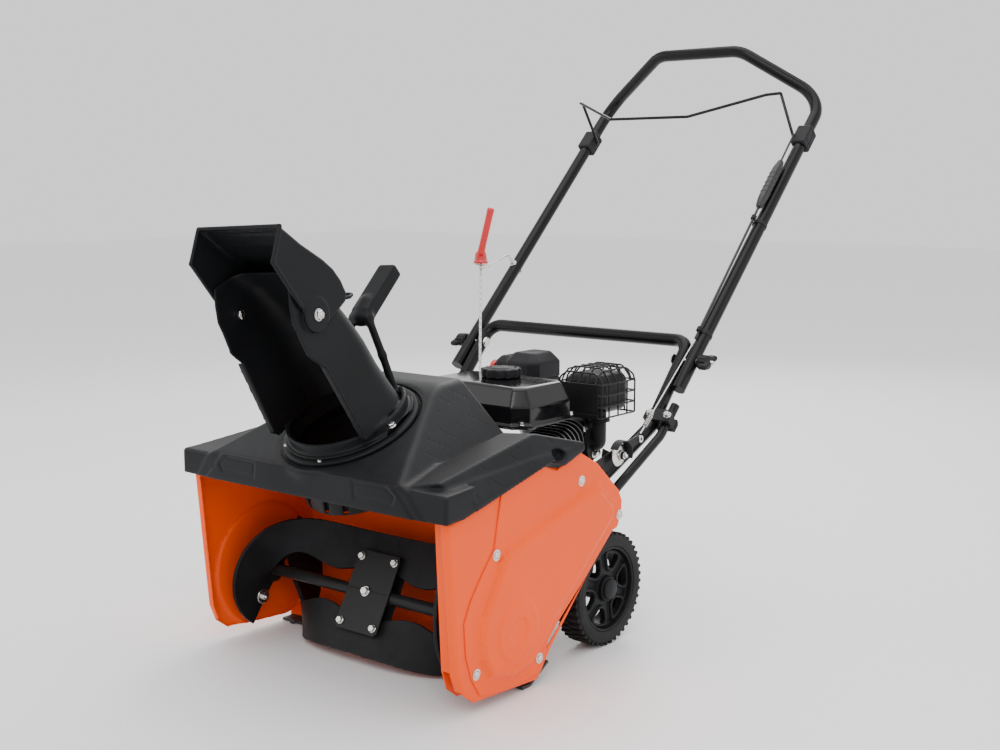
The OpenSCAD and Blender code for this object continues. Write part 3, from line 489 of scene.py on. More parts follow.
def segment(x, y, z, a, b, r):
    """Distance to a rod with round ends between a and b."""
    a, b = A(a, float), A(b, float)
    e = b - a
    t = np.clip(((x - a[0]) * e[0] + (y - a[1]) * e[1] + (z - a[2]) * e[2]) / np.dot(e, e), 0, 1)
    return np.sqrt((x - a[0] - t * e[0]) ** 2 + (y - a[1] - t * e[1]) ** 2 + (z - a[2] - t * e[2]) ** 2) - r


RING_Y, RING_Z, TILT, TURN = -282.4, 392.6, math.radians(25.6), math.radians(6.4)


def to_ring(x, y, z, turn=0.0):
    """Layout place to ring place: z along the ring's axis."""
    y1, z1 = y - RING_Y, z - RING_Z
    yr = y1 * math.cos(TILT) + z1 * math.sin(TILT)
    zr = -y1 * math.sin(TILT) + z1 * math.cos(TILT)
    c, s = math.cos(turn), math.sin(turn)
    return x * c + yr * s, -x * s + yr * c, zr


def from_ring(v, turn=TURN):
    v = A(v, float)
    c, s = math.cos(turn), math.sin(turn)
    x, y = v[..., 0] * c - v[..., 1] * s, v[..., 0] * s + v[..., 1] * c
    z = v[..., 2]
    return np.stack([x, RING_Y + y * math.cos(TILT) - z * math.sin(TILT),
                     RING_Z + y * math.sin(TILT) + z * math.cos(TILT)], -1)

# ---------------------------------------------------------------- top cover

def knots(v, pts):
    return np.interp(v, [p[0] for p in pts], [p[1] for p in pts]).astype(np.float32)


def half_space(F, p, q, r, inside):
    """Distance to the plane through three points, negative on the side of the point inside."""
    p, q, r = (A(k, float) for k in (p, q, r))
    n = np.cross(q - p, r - p)
    n /= np.linalg.norm(n)
    if np.dot(A(inside, float) - p, n) > 0:
        n = -n
    return (F.x - p[0]) * n[0] + (F.y - p[1]) * n[1] + (F.z - p[2]) * n[2]


def cover():
    F = Field((-291, -394, 262), (291, -40, 458), 2.2)
    x, y, z = F.x, F.y, F.z
    mid, low = (0, -200, 350), (220, -200, 300)
    base = knots(y, [(-394, 331), (-377, 335), (-345, 337), (-300, 341), (-160, 354), (-60, 358)])
    slab = smax((z - base) * 0.98, np.abs(x) - 283, 4)
    slab = smax(slab, -383 - y, 4)
    edge = half_space(F, (250, -362, 346), (250, -145, 386), (285, -138, 346), low)
    deck_a = half_space(F, (250, -362, 346), (250, -145, 386), (150, -140, 372), low)
    deck_b = half_space(F, (250, -145, 386), (250, -60, 362), (150, -100, 366), low)
    nose = half_space(F, (250, -362, 347), (285, -314, 304), (200, -374, 332), low)
    ridge = smax(smax(deck_a, deck_b, 3), smax(smax(edge, nose, 3), x - 283, 3), 3)
    ridge = np.maximum(ridge, 180 - x)
    slab = smax(slab, np.where(y > -318, edge, -1e3), 2)
    slab = smin(slab, ridge, 6)
    right = half_space(F, (204, -380, 334), (138, -112, 368), (72, -104, 450), mid)
    left = half_space(F, (-214, -380, 334), (-158, -112, 356), (-90, -104, 450), mid)
    roof = z - (449 + (y + 100) * 0.03)
    front = half_space(F, (-100, -386, 338), (100, -386, 338), (0, -180, 446), mid)
    rear = half_space(F, (-100, -102, 450), (100, -102, 450), (0, -66, 352), mid)
    hump = smax(smax(right, left, 14), smax(smax(roof, rear, 6), front, 12), 8)
    hump = smax(hump, -383 - y, 2)
    rx, ry, rz = to_ring(x, y, z)
    rr = np.hypot(rx, ry)
    boss = smax((rr - 123 + (rz + 6) * 0.16) * 0.98, rz + 6, 3)
    body = smin(smin(slab, hump, 7), boss, 6)
    plate = np.maximum(np.maximum(np.abs(x) - (221 - (z - 297) * 0.92), -386.4 - y),
            np.maximum(z - 338, y + 372))
    body = smin(body, plate, 1.2)
    body = smax(body, -np.maximum(rr - 114.5, -5.6 - rz), 1.5)
    body = smax(body, -np.maximum(rr - 119.5, 0.5 - rz), 1.5)
    for s in (-1, 1):
        hexa = poly2(s * x, z, [(105, 334), (108, 309), (183, 309), (190, 322), (172, 335)])
        body = smax(body, -np.maximum(np.maximum(hexa, -hexa - 3.6), y + 384.6), 0.6)
        body = smax(body, -np.maximum(hexa + 3.6, y + 385.5), 0.6)
    body = smax(body, -np.maximum(np.hypot((y + 121) / 1.6, z - 352) - 9, 268 - x), 1.5)
    body = np.maximum(body, y + 58)
    shell = np.maximum(body, -(body + 3.3))
    hem = knots(y, [(-394, 294), (-345, 296), (-314, 304), (-138, 346), (-110, 334), (-61, 350)])
    hem_left = knots(y, [(-394, 294), (-345, 296), (-300, 312), (-159, 340), (-60, 346)])
    shell = smax(shell, np.where(x > 0, hem, hem_left) - np.where(np.abs(x) < 268, 22, 0) - z, 1)
    shell = smax(shell, 294 - z, 1)
    shell = np.maximum(shell, 99 - rr)
    F.done(shell, "cover_shell", "cover", "chassis", ("top_cover",), "cover_plastic", smooth=2)
    F = Field((-112, -388, 236), (112, -160, 352), 2.0)
    rx, ry, rz = to_ring(F.x, F.y, F.z)
    rr = np.hypot(rx, ry)
    spout = smax(np.maximum(np.abs(rr - 106.5) - 1.8, ry - 30), np.maximum(rz + 12, -97 - rz), 2)
    for a in (-0.66, -0.3, 0.1, 0.42):
        px, py = math.sin(a) * 108, -math.cos(a) * 108
        slot = np.maximum(np.hypot(rx - px - (rz + 74) * 0.32, (ry - py) * 0.2) - 4.2, np.abs(rz + 74) - 19)
        spout = smax(spout, -slot, 1)
    F.done(spout, "throat_spout", "cover", "chassis", (), "cover_plastic", smooth=1)


cover()

# ---------------------------------------------------------------- chute, deflector, ring

def chute():
    F = Field((-96, -112, -14), (96, 72, 290), 1.9)
    x, y, z = F.x, F.y, F.z
    w = knots(z, [(0, 89), (60, 85), (216, 73.4), (290, 72.4)])
    b = knots(z, [(0, 70), (50, 54), (94, 40), (138, 31), (174, 20), (213, 5), (250, -12), (290, -40)])
    r = knots(z, [(0, 58), (60, 50), (140, 38), (224, 28), (270, 26)])
    qx, qy = np.abs(x) - (w - r), y - (b - r)
    d = np.hypot(np.maximum(qx, 0), np.maximum(qy, 0)) + np.minimum(np.maximum(qx, qy), 0) - r
    wall = np.abs(d + 2) - 2
    front = knots(z, [(14, -66), (30, -76), (81, -80), (160, -88), (172, -96), (186, -103), (240, -105),
            (262, -98), (284, -88)])
    chan = smax(wall, (front - y) * 0.97, 1.5)
    chan = smax(smax(chan, 18 - z, 1), z - 285, 1.5)
    lip_in = knots(z, [(0, 89), (60, 85), (170, 78)])
    edge = knots(z, [(20, -74), (81, -81), (168, -90)])
    flange = np.maximum(np.maximum(lip_in - 3 - np.abs(x), np.abs(x) - lip_in - 7),
            np.maximum(edge - y, y - edge - 4))
    flange = smax(flange, np.maximum(24 - z, z - 160), 2)
    chan = smin(chan, flange, 2.5)
    rr = np.hypot(x, y)
    drum = np.maximum(np.maximum(rr - 96.2, 90 - rr), np.maximum(-12 - z, z - 24))
    skirt = smax(np.maximum(rr - 103.5, 90 - rr), np.maximum(3 - z, z - 7), 1)
    body = smin(smin(chan, drum, 4), skirt, 3)
    for s in (-1, 1):
        ear = np.hypot(y + 62, z - 229)
        pad = np.maximum(ear - 24, np.abs(s * x - 73.5) - 2.5)
        body = smin(body, pad, 1.5)
        hole = np.maximum(ear - 4.1, 60 - s * x)
        body = np.maximum(body, -hole)
    for s in (-1, 1):
        boss = np.maximum(np.hypot(x - s * 97, y + 18) - 9, np.maximum(3 - z, z - 12))
        body = smin(body, np.maximum(boss, rr - 104), 3)
    F.done(body, "chute_body", "chute", "chute", ("chute",), "chute_plastic", smooth=2, place=from_ring)


HOOD = [(-66, 371), (-60, 362), (-40, 330), (-10, 290), (3, 268), (10, 246), (12, 222), (4, 213),
        (-8, 211), (-40, 206), (-62, 202), (-80, 208), (-86, 222), (-84, 254), (-104, 335)]


def deflector():
    F = Field((-84, -112, 194), (84, 22, 378), 1.7)
    x, y, z = F.x, F.y, F.z
    hood = poly2(y, z, HOOD)
    solid = extrude(hood, x, -79, 79, 5)
    roof = poly2(y, z, [(-72, 380), (-64, 366), (-44, 330), (-14, 288), (0, 264), (5.5, 244), (7, 190),
            (-150, 190), (-150, 380)])
    hollow = extrude(roof, x, -75, 75, 5)
    shell = smax(solid, -hollow, 1.2)
    rim = [(-66, 371), (-104, 335), (-84, 254)]
    for s in (-1, 1):
        for a, b in zip(rim, rim[1:]):
            shell = smin(shell, segment(x, y, z, (s * 77, a[0] + 1, a[1] - 1), (s * 77, b[0] + 1, b[1] - 1),
                    3.0), 1.5)
        disc = np.maximum(np.hypot(y + 62, z - 229) - 26, np.abs(s * x - 79) - 1.6)
        shell = smin(shell, disc, 1)
        hole = np.maximum(np.hypot(y + 62, z - 229) - 4.1, 60 - s * x)
        shell = np.maximum(shell, -hole)
    shell = smin(shell, segment(x, y, z, (-74, -66, 370), (74, -66, 370), 3.0), 1.5)
    F.done(shell, "deflector_hood", "chute", "deflector", ("deflector",), "chute_plastic", smooth=2,
            place=from_ring)
    s = Soup()
    loop = [(40, 2, 218), (40, 26, 208), (44, 38, 206), (62, 38, 206), (66, 26, 208), (66, 2, 218)]
    s.tube(from_ring(loop), 5.5, 12, 6, 5)
    s.done("deflector_loop", "chute", "deflector", slot="chute_plastic")


def ring():
    s = Soup()
    prof = [(97, -14), (103.6, -14), (103.6, -4.6), (109, -4.6), (110, -3.6), (110, -0.6), (108.6, 1.2),
            (105.5, 2.4), (98, 2.4), (97, 1.4)]
    c, ax = from_ring((0, 0, 0)), (0, -math.sin(TILT), math.cos(TILT))
    s.lathe(prof, c, ax, 128)
    s.done("chute_ring_band", "chute", "chassis", replaces=("chute_ring",), slot="chute_plastic", angle=30)
    s = Soup()
    for a in (100, 230, 285):
        t = math.radians(a)
        p = from_ring((103.5 * math.cos(t), 103.5 * math.sin(t), 2.4), 0)
        s.lathe([(0.1, 0), (3.6, 0), (3.4, 1.4), (2.0, 2.2), (0.1, 2.3)], p, ax, 20)
    s.done("ring_screws", "zinc", "chassis", slot="zinc")


def handle():
    F = Field((-46, 62, 4), (46, 222, 176), 1.8)
    x, y, z = F.x, F.y, F.z
    a, u = (y - 112) * 0.962 + (z - 130) * 0.272, (y - 112) * -0.272 + (z - 130) * 0.962
    grip = rbox(x, a, u, (-17, -4, -12.5), (17, 99, 12.5), 5)
    grip = smax(grip, -(np.abs(np.abs(x) - 17.4) - 0.8 + np.abs(u) * 0.02), 0.5)
    neck = smin(segment(x, y, z, (-12, 104, 126), (12, 104, 126), 11),
            segment(x, y, z, (0, 104, 128), (0, 128, 140), 12), 8)
    body = smin(grip, neck, 6)
    for s in (-1, 1):
        leg = smin(segment(x, y, z, (s * 20, 98, 118), (s * 30, 88, 70), 6.2),
                   segment(x, y, z, (s * 30, 88, 70), (s * 36, 80, 12), 6.2), 5)
        body = smin(body, leg, 6)
        foot = rbox(x - s * 36, y, z, (-9, 71, 8), (9, 89, 14), 2)
        body = smin(body, foot, 4)
    F.done(body, "turning_handle", "chute", "chute", ("chute_handle",), "chute_plastic", smooth=2,
            place=from_ring)


def chute_bolts():
    s = Soup()
    for d in (-1, 1):
        n = from_ring(A([(d, 0, 0)])) - from_ring(A([(0, 0, 0)]))
        at = lambda h: from_ring((d * h, -62, 229))
        s.lathe([(0.1, 0), (9, 0), (9, 1.6), (0.1, 1.6)], at(80.8), n[0], 40)
        s.hexbolt(at(82.4), n[0], 13, 5.2)
        s.lathe([(0.1, 0), (3.6, 0), (3.6, 6.5), (3, 7.2), (0.1, 7.2)], at(82), n[0], 24)
        s.lathe([(0.1, 0), (4, 0), (4, 24), (0.1, 24)], at(62), n[0], 24)
        s.hexbolt(at(67.5), -n[0], 13, 5)
    s.done("pivot_bolts", "zinc", "chute", replaces=("deflector_bolts",), slot="zinc", angle=30)
    s = Soup()
    n = from_ring((0, 0, 1)) - from_ring((0, 0, 0))
    for x, y in ((97, -18), (-97, -18)):
        s.hexbolt(from_ring((x, y, 12.2)), n, 10, 4.5, 7)
    s.done("chute_bolts", "zinc", "chute", slot="zinc", angle=30)


chute()
deflector()
ring()
handle()
chute_bolts()

# ---------------------------------------------------------------- orange sheet metal

PLATE = [(-370, 293), (-350, 66), (-338, 36), (-313, 17), (-160, 8), (-128, 48), (-20, 152), (45, 205),
         (58, 245), (46, 270), (-12, 322), (-100, 330), (-160, 340), (-300, 306)]


def ramp_in(d, w):
    """0 outside an outline, 1 more than w inside it, eased between."""
    t = np.clip(-d / w, 0, 1)
    return t * t * (3 - 2 * t)


def side_plate(name, node, s):
    F = Field((252, -374, 2), (277, 64, 350), 1.5)
    x, y, z = F.x, F.y, F.z
    d2 = poly2(y, z, PLATE)
    press = 0
    if s < 0:
        press = ramp_in(np.hypot(y + 225, z - 108) - 112, 9) * 4
    body = extrude(d2, x, 230, 273.4 - press, 7)
    shell = np.maximum(body, -(body + 2.4))
    front = (y + 370) - (293 - z) * 0.088
    keep = np.minimum(268.8 - press - x, np.maximum(front - 9, 258 - x))
    shell = np.maximum(shell, keep)
    if s > 0:
        inner = poly2(y, z, [(-300, 60), (-150, 45), (-40, 140), (30, 220), (30, 262), (-20, 300), (-80, 305),
                             (-246, 236)])
        shell = np.maximum(shell, -inner)
    F.done(shell, name, "orange", "chassis", (node,), "orange_paint", smooth=1,
           place=(lambda v: v * A((s, 1, 1))))


side_plate("side_sheet_left", "left_side_plate", -1)
side_plate("side_sheet_right", "right_side_plate", 1)

COVER_OUT = [(-265, 269), (-271, 238), (-299, 206), (-325, 172), (-339, 143), (-335, 92), (-322, 53),
        (-303, 25),
             (-243, 16), (-158, 20), (-137, 66), (-112, 89), (-19, 159), (30, 202), (48, 206), (59, 231),
                     (60, 250),
             (50, 269), (14, 301), (-11, 323), (-62, 350), (-121, 330), (-159, 345), (-255, 318)]
RAISED = [(-250, 236), (-262, 222), (-307, 147), (-316, 112), (-311, 80), (-290, 44), (-236, 28), (-178, 38),
          (-126, 90), (-18, 182), (34, 224), (36, 250), (-11, 294), (-56, 289)]
SCREWS = [(-56, 301), (-266, 228), (50, 227), (-163, 45), (-312, 62)]


def belt_case():
    F = Field((271, -344, 12), (289, 64, 348), 1.4)
    x, y, z = F.x, F.y, F.z
    d2 = poly2(y, z, COVER_OUT) + 1.2
    up = poly2(y, z, RAISED)
    h = 276 + 9.2 * ramp_in(up, 17)
    disc = np.hypot(y + 225, z - 106)
    h = h + 2.2 * ramp_in(disc - 50, 6) - 2.6 * ramp_in(disc - 23, 5)
    for py, pz in SCREWS:
        h = h - (h - 276) * ramp_in(np.hypot(y - py, z - pz) - 15, 6)
    outer = extrude(d2, x, 240, h, 1.6)
    shell = smax(outer, np.maximum(273.8, h - 2.6) - x, 0.3)
    F.done(shell, "belt_case", "orange", "chassis", ("belt_cover",), "orange_paint", smooth=1, ratio=0.6)
    S = Soup()
    for py, pz in SCREWS:
        S.lathe([(0.1, 0), (8.4, 0), (8.4, 0.9), (0.1, 0.9)], (276, py, pz))
        S.lathe([(0.1, 0.9), (5.6, 0.9), (5.4, 2.6), (4.2, 4.2), (2.6, 4.8), (1.6, 3.6), (0.1, 3.4)],
                (276, py, pz), seg=32)
    S.done("cover_pan_screws", "zinc", "chassis", replaces=("cover_screws",), slot="zinc", angle=35)


belt_case()


def drum():
    S = Soup()
    r, t = 109, 2.2
    th = [math.radians(a) for a in np.linspace(-61, 0, 40)]
    prof = [(-225 + r, 325)] + [(-225 + r * math.cos(a), 104 + r * math.sin(a)) for a in th][::-1]
    out = [(-225 + (r + t) * math.cos(a), 104 + (r + t) * math.sin(a)) for a in th] + [(-225 + r + t, 325)]
    S.prism(prof + out, (0, 0, 0), (0, 1, 0), (0, 0, 1), -268, 233)
    S.done("drum_sheet", "orange", "chassis", replaces=("housing_shell",), slot="orange_paint", angle=30)
    S = Soup()
    S.prism([(-192, 0.2), (-172, 0.2), (-126, 26), (-128, 30), (-174, 5), (-192, 5)], (0, 0, 0), (0, 1, 0),
            (0, 0, 1),
            -267, 267)
    S.done("scraper_edge", "worn", "chassis", replaces=("scraper_bar",), slot="wear_steel", angle=30, bevel=1)
    S = Soup()
    for x in (-240, -120, 0, 120, 220):
        S.lathe([(0.1, 0), (6.4, 0), (6.4, 1.6), (4.4, 3.4), (0.1, 3.6)], (x, -191.9, 2.6), (0, -1, 0), 24)
    S.done("scraper_rivets", "worn", "chassis", slot="wear_steel", angle=35)
    S = Soup()
    S.lathe([(88, -30), (103, -30), (103, -13.8), (96.9, -13.8), (96.9, -26), (88, -26)],
            (0, RING_Y, RING_Z), (0, -math.sin(TILT), math.cos(TILT)), 72)
    S.lathe([(101, -92), (103.4, -92), (103.4, -15), (101, -15)],
            (0, RING_Y, RING_Z), (0, -math.sin(TILT), math.cos(TILT)), 72)
    S.done("throat_liner", "throat", "chassis", slot="cover_plastic", angle=35)


drum()

# ---------------------------------------------------------------- rotor

R_Y, R_Z, R_MID, R_HALF, LEAN, COIL = -225.0, 104.0, -14.0, 229.0, 61.0, 175.0


def on_sheet(t, r, a0):
    x = R_MID + R_HALF * math.copysign(math.sin(math.radians(90 * abs(t))) ** 0.9, t)
    a = math.radians(a0 + COIL * (1 - math.cos(math.radians(90 * t))) ** 1.35)
    return A((x, R_Y + r * math.cos(a), R_Z + r * math.sin(a)))


def flank(t, a0):
    a = math.radians(a0 + COIL * (1 - math.cos(math.radians(90 * t))) ** 1.35)
    return A((0, math.cos(a), math.sin(a)))


def paddle(name, node, a0):
    S = Soup()
    steps, th = 180, 3.3
    vs = []
    rim = [(0, -1), (0.012, -1), *[(k / 7, -1) for k in range(1, 7)], (0.988, -1), (1, -0.55), (1, 0.55),
            (0.988, 1),
           *[(k / 7, 1) for k in range(6, 0, -1)], (0.012, 1), (0, 0.55), (0, -0.55)][1:]
    for i in range(steps + 1):
        t = -1 + 2 * i / steps
        lo = 34 + 8 * math.cos(math.radians(720 * t)) - 15 * abs(t) ** 6
        hi = 99.6 - 0.5 * (0.5 + 0.5 * math.sin(i * 1.7)) * random.random()
        for f, s in rim:
            r = lo + (hi - lo) * f
            t0, t1 = max(-1, t - 0.012), min(1, t + 0.012)
            d = on_sheet(t1, r, a0) - on_sheet(t0, r, a0)
            n = np.cross(d, flank(t, a0))
            n /= np.linalg.norm(n)
            vs.append(on_sheet(t, r, a0) + n * th * s)
    k = len(rim)
    fs = [[i * k + j, (i + 1) * k + j, (i + 1) * k + (j + 1) % k, i * k + (j + 1) % k]
          for i in range(steps) for j in range(k)]
    fs += [list(range(k)), list(range(steps * k, (steps + 1) * k))[::-1]]
    S.add(vs, fs)
    S.done(name, "rubber", "rotor", replaces=(node,), slot="paddle_rubber", angle=50)


paddle("sweeping_paddle_a", "paddle_a", 61)
paddle("sweeping_paddle_b", "paddle_b", 241)


def rotor_metal():
    lean = math.radians(LEAN)
    along, across = A((0, math.cos(lean), math.sin(lean))), A((0, math.sin(lean), -math.cos(lean)))
    at = lambda x, up, out: A((R_MID + x, R_Y, R_Z)) + along * up + across * out
    S = Soup()
    outline = [(-46, -60), (-41, -66), (41, -66), (46, -60), (46, 60), (41, 66), (-41, 66), (-46, 60)]
    for s in (-1, 1):
        S.prism(outline, at(0, 0, s * 11.2), (1, 0, 0), along, -1.6, 1.6)
        S.lathe([(0.1, -44), (12.5, -44), (13.2, -40), (13.2, 40), (12.5, 44), (0.1, 44)], at(0, 0, 0),
                (1, 0, 0), 32)
    S.done("clamp_plates", "steel_black", "rotor", replaces=("centre_plates",), slot="black_steel", bevel=1.2)
    S = Soup()
    for s in (-1, 1):
        for x in (-36, 36):
            for up in (-54, 54):
                S.hexbolt(at(x, up, s * 12.8), across * s, 10, 4.4, washer=6.6)
        S.hexbolt(at(-4, 0, s * 13.2), across * s, 12, 5, washer=8.6)
    ang = math.radians(LEAN + COIL - 7)
    arm = A((0, math.cos(ang), math.sin(ang)))
    for s in (-1, 1):
        for e in (-1, 1):
            c = A((R_MID + s * (R_HALF - 3.6), R_Y, R_Z)) + arm * 52 * e
            S.lathe([(0.1, 0), (12.5, 0), (12.5, 1.2), (11.9, 1.8), (0.1, 1.8)], c, (-s, 0, 0), 40)
            S.hexbolt(c + A((-s * 1.8, 0, 0)), (-s, 0, 0), 10, 4.6)
            S.lathe([(0.1, 0), (3.0, 0), (3.0, 4), (2.4, 5), (0.1, 5)], c + A((-s * 6, 0, 0)), (-s, 0, 0), 20)
            S.hexbolt(A((R_MID + s * (R_HALF + 6.8), R_Y, R_Z)) + arm * 52 * e, (s, 0, 0), 10, 4)
    S.done("rotor_hex_bolts", "zinc", "rotor", replaces=("rotor_bolts",), slot="zinc", angle=30)


rotor_metal()

# ---------------------------------------------------------------- engine

def octagon(x0, x1, y0, y1, c):
    return [(x0 + c, y0), (x1 - c, y0), (x1, y0 + c), (x1, y1 - c), (x1 - c, y1), (x0 + c, y1),
            (x0, y1 - c), (x0, y0 + c)]


def tank():
    F = Field((-134, -26, 332), (138, 160, 434), 1.8)
    x, y, z = F.x, F.y, F.z
    plan = poly2(x, y, octagon(-120, 124, -12, 148, 24))
    top = smax(plan + np.maximum(0, z - 392) * 0.55, z - 424 + np.abs(x - 2) * 0.02, 5)
    top = smax(top, 361 - z, 1)
    rim = extrude(plan - 5, z, 357.6, 362.6, 1.2)
    low = extrude(plan + 9, z, 337, 360, 8)
    low = np.maximum(low, np.minimum(np.maximum(34 - x, 352 - z), 354 - z + np.maximum(0, x - 34) * 2))
    neck = np.maximum(np.hypot(x - 2, y - 86) - 27, np.abs(z - 424) - 5)
    d = smin(smin(top, low, 1), smin(rim, neck, 2), 1.5)
    d = smax(d, -(np.abs(np.abs(x - 2) - 62) - 0.8 + np.maximum(0, 426 - z) * 2), 1)
    F.done(d, "tank_shell", "tank", "chassis", ("fuel_tank",), "engine_plastic", smooth=2)
    S = Soup()
    for x0 in (-112, 116):
        for y0 in (-2, 136):
            S.hexbolt((x0, y0, 362.6), (0, 0, 1), 8, 4, washer=5.4)
    S.done("tank_bolts", "zinc", "chassis", slot="zinc", angle=30)


tank()


def cap():
    F = Field((-36, 48, 420), (40, 124, 446), 1.1)
    x, y, z = F.x - 2, F.y - 86, F.z
    r, a = np.hypot(x, y), np.arctan2(y, x)
    d = extrude(r - (33.5 + 1.9 * np.clip(np.cos(a * 12) * 1.7, -1, 1)), z, 424.4, 440, 2.5)
    d = smax(d, -np.maximum(np.abs(r - 25) - 1.4, 438.4 - z), 0.6)
    d = smin(d, np.maximum(r - 19, np.abs(z - 440) - 1.4), 0.6)
    d = smax(d, -(np.abs(z - 427.6) - 0.7 + np.clip(35 - r, 0, 3) * 0.5), 0.3)
    d = np.maximum(d, -np.maximum(r - 27.6, z - 436))
    F.done(d, "ribbed_cap", "matte", "cap", ("fuel_cap",), "engine_matte", smooth=1)


cap()


def air_box():
    F = Field((-128, 196, 366), (26, 302, 456), 1.5)
    x, y, z = F.x, F.y, F.z
    def block(x0, x1, y0, y1, z1, c, cz):
        plan = poly2(x, y, octagon(x0, x1, y0, y1, c))
        return smax(smax(plan, z - z1, 3), smax((plan + z - z1 + cz) * 0.75, 371.6 - z, 2), 3)
    d = smin(block(-92, -14, 202, 296, 449, 15, 17), block(-121, -80, 212, 286, 440, 10, 12), 4)
    d = smax(d, -(np.abs(z - 402) - 0.9 + np.clip(-2.0 - d, 0, 9)), 0.4)
    F.done(d, "air_box_shell", "matte", "chassis", ("air_filter_box",), "engine_matte", smooth=2)
    S = Soup()
    S.lathe([(0.1, 0), (16, 0), (17, 2), (17, 8.4), (15.6, 9.7), (12.4, 9.7), (11.6, 6), (0.1, 5)],
            (-122.3, 232, 412),
            (-1, 0, 0), 48)
    S.prism([(-11.5, -2.6), (11.5, -2.6), (12, 0), (11.5, 2.6), (-11.5, 2.6), (-12, 0)], (-122.3, 232, 412),
            (0, 1, 0),
            (0, 0, 1), -9.4, -4)
    S.done("choke_dial", "red", "choke", replaces=("choke_knob",), slot="red_plastic", angle=35)
    S = Soup()
    S.lathe([(0.1, 0), (19, 0), (21, 3), (21, 22), (18, 27), (0.1, 27)], (-45, 232, 323), (0, 0, -1), 40)
    S.lathe([(0.1, 0), (3.5, 0), (3.5, 4), (0.1, 5)], (-45, 232, 296), (0, 0, -1), 20)
    S.prism(octagon(-70, -20, 205, 260, 6), (0, 0, 0), (1, 0, 0), (0, 1, 0), 322, 371.5)
    S.lathe([(0.1, 0), (15, 0), (15, 46), (0.1, 46)], (-20, 222, 340), (1, 0, 0), 32)
    S.prism(octagon(20, 31.6, 205, 240, 4), (0, 0, 0), (1, 0, 0), (0, 1, 0), 324, 356)
    S.done("carburettor_body", "alloy", "chassis", replaces=("carburettor",), slot="cast_alloy", bevel=1.2)


air_box()


def cage():
    S = Soup()
    w = 3.2
    x0, x1, y0, y1, za, zb, zc = 61.5, 154.5, 169.5, 280.5, 353.5, 412, 438
    for z in (za, 373, 392.5, zb):
        S.tube([(x1 - 12, y0, z), (x1, y0, z), (x1, y1, z), (x0, y1, z), (x0, y0 + 8, z)], w, 8, 7, 4)
    S.tube([(x0, y0, zb), (x1 - 6, y0, zb)], w, 8)
    for y in (197, 225, 253):
        for x in (x0, x1):
            S.tube([(x, y, za), (x, y, zb)], w, 8)
    for x in (85, 108, 131):
        S.tube([(x, y1, za), (x, y1, zb)], w, 8)
    for x, y in ((x0, y1 - 3), (x1, y1 - 3), (x1, y0 + 4)):
        S.tube([(x, y, za), (x, y, zb)], w, 8)
    for y in (176, 197, 219, 241, 263, 277):
        e = 11 if 180 < y < 270 else 4
        S.tube([(x0, y, zb), (x0 + 4, y, zb + 10), (x0 + 18, y, zc - 11 + e), (x1 - 18, y, zc - 11 + e),
                (x1 - 4, y, zb + 10),
                (x1, y, zb)], w, 8, 10, 4)
    for x in (72, 90, 108, 126, 144):
        e = 11 if 80 < x < 136 else 7
        S.tube([(x, y0, zb), (x, y0 + 5, zb + 10), (x, y0 + 20, zc - 11 + e), (x, y1 - 20, zc - 11 + e),
                (x, y1 - 5, zb + 10),
                (x, y1, zb)], w, 8, 10, 4)
    S.done("guard_wires", "steel_black", "chassis", replaces=("muffler_guard",), slot="black_steel", angle=50)
    S = Soup()
    S.prism([(60, 352), (146, 352), (150, 356), (150, 409), (146, 413), (64, 413), (60, 409)],
            (0, 168.6, 0), (1, 0, 0),
            (0, 0, 1), -1.6, 0.4)
    S.prism([(60, 352), (150, 352), (150, 360), (60, 360)], (0, 168.6, 0), (1, 0, 0), (0, 0, 1), -2.6, 1.2)
    S.done("guard_plate", "steel_black", "chassis", slot="black_steel", bevel=0.9)
    S = Soup()
    for z in (366, 396):
        S.lathe([(0.1, 0), (4.6, 0), (4.2, 1.8), (2.4, 2.8), (0.1, 3)], (68, 168, z), (0, -1, 0), 24)
    S.done("guard_screws", "zinc", "chassis", slot="zinc", angle=35)
    F = Field((60, 172, 350), (156, 278, 432), 2.2)
    d = rbox(F.x, F.y, F.z, (67, 179, 357), (149, 271, 428), 18)
    d = smin(d, np.abs(F.z - 392) - 1 + np.clip(rbox(F.x, F.y, F.z, (65, 177, 340), (151, 273, 440), 18), 0,
            99) * 3
             + np.clip(-rbox(F.x, F.y, F.z, (67, 179, 357), (149, 271, 428), 18) - 4, 0, 9), 0.5)
    F.done(d, "muffler_can", "steel_black", "chassis", ("muffler",), "black_steel", smooth=2)
    S = Soup()
    S.tube([(124, 191, 304), (138, 191, 306), (138, 191, 364)], 25, 28, 14, 8)
    S.prism([(-14, -26), (14, -26), (20, -12), (20, 12), (14, 26), (-14, 26), (-20, 12), (-20, -12)],
            (120.4, 191, 305),
            (0, 1, 0), (0, 0, 1), 0, 7)
    S.lathe([(12, 0), (19, 0), (19, 4), (12, 4)], (138, 191, 346), (0, 0, 1), 32)
    S.done("exhaust_elbow", "steel_black", "chassis", replaces=("exhaust_pipe",), slot="black_steel",
            angle=40)
    S = Soup()
    for dz in (-19, 19):
        S.hexbolt((127.5, 191, 305 + dz), (1, 0, 0), 10, 7, washer=7)
    S.done("exhaust_nuts", "zinc", "chassis", slot="zinc", angle=30)


cage()

CR_Y, CR_Z = -10.0, 250.0


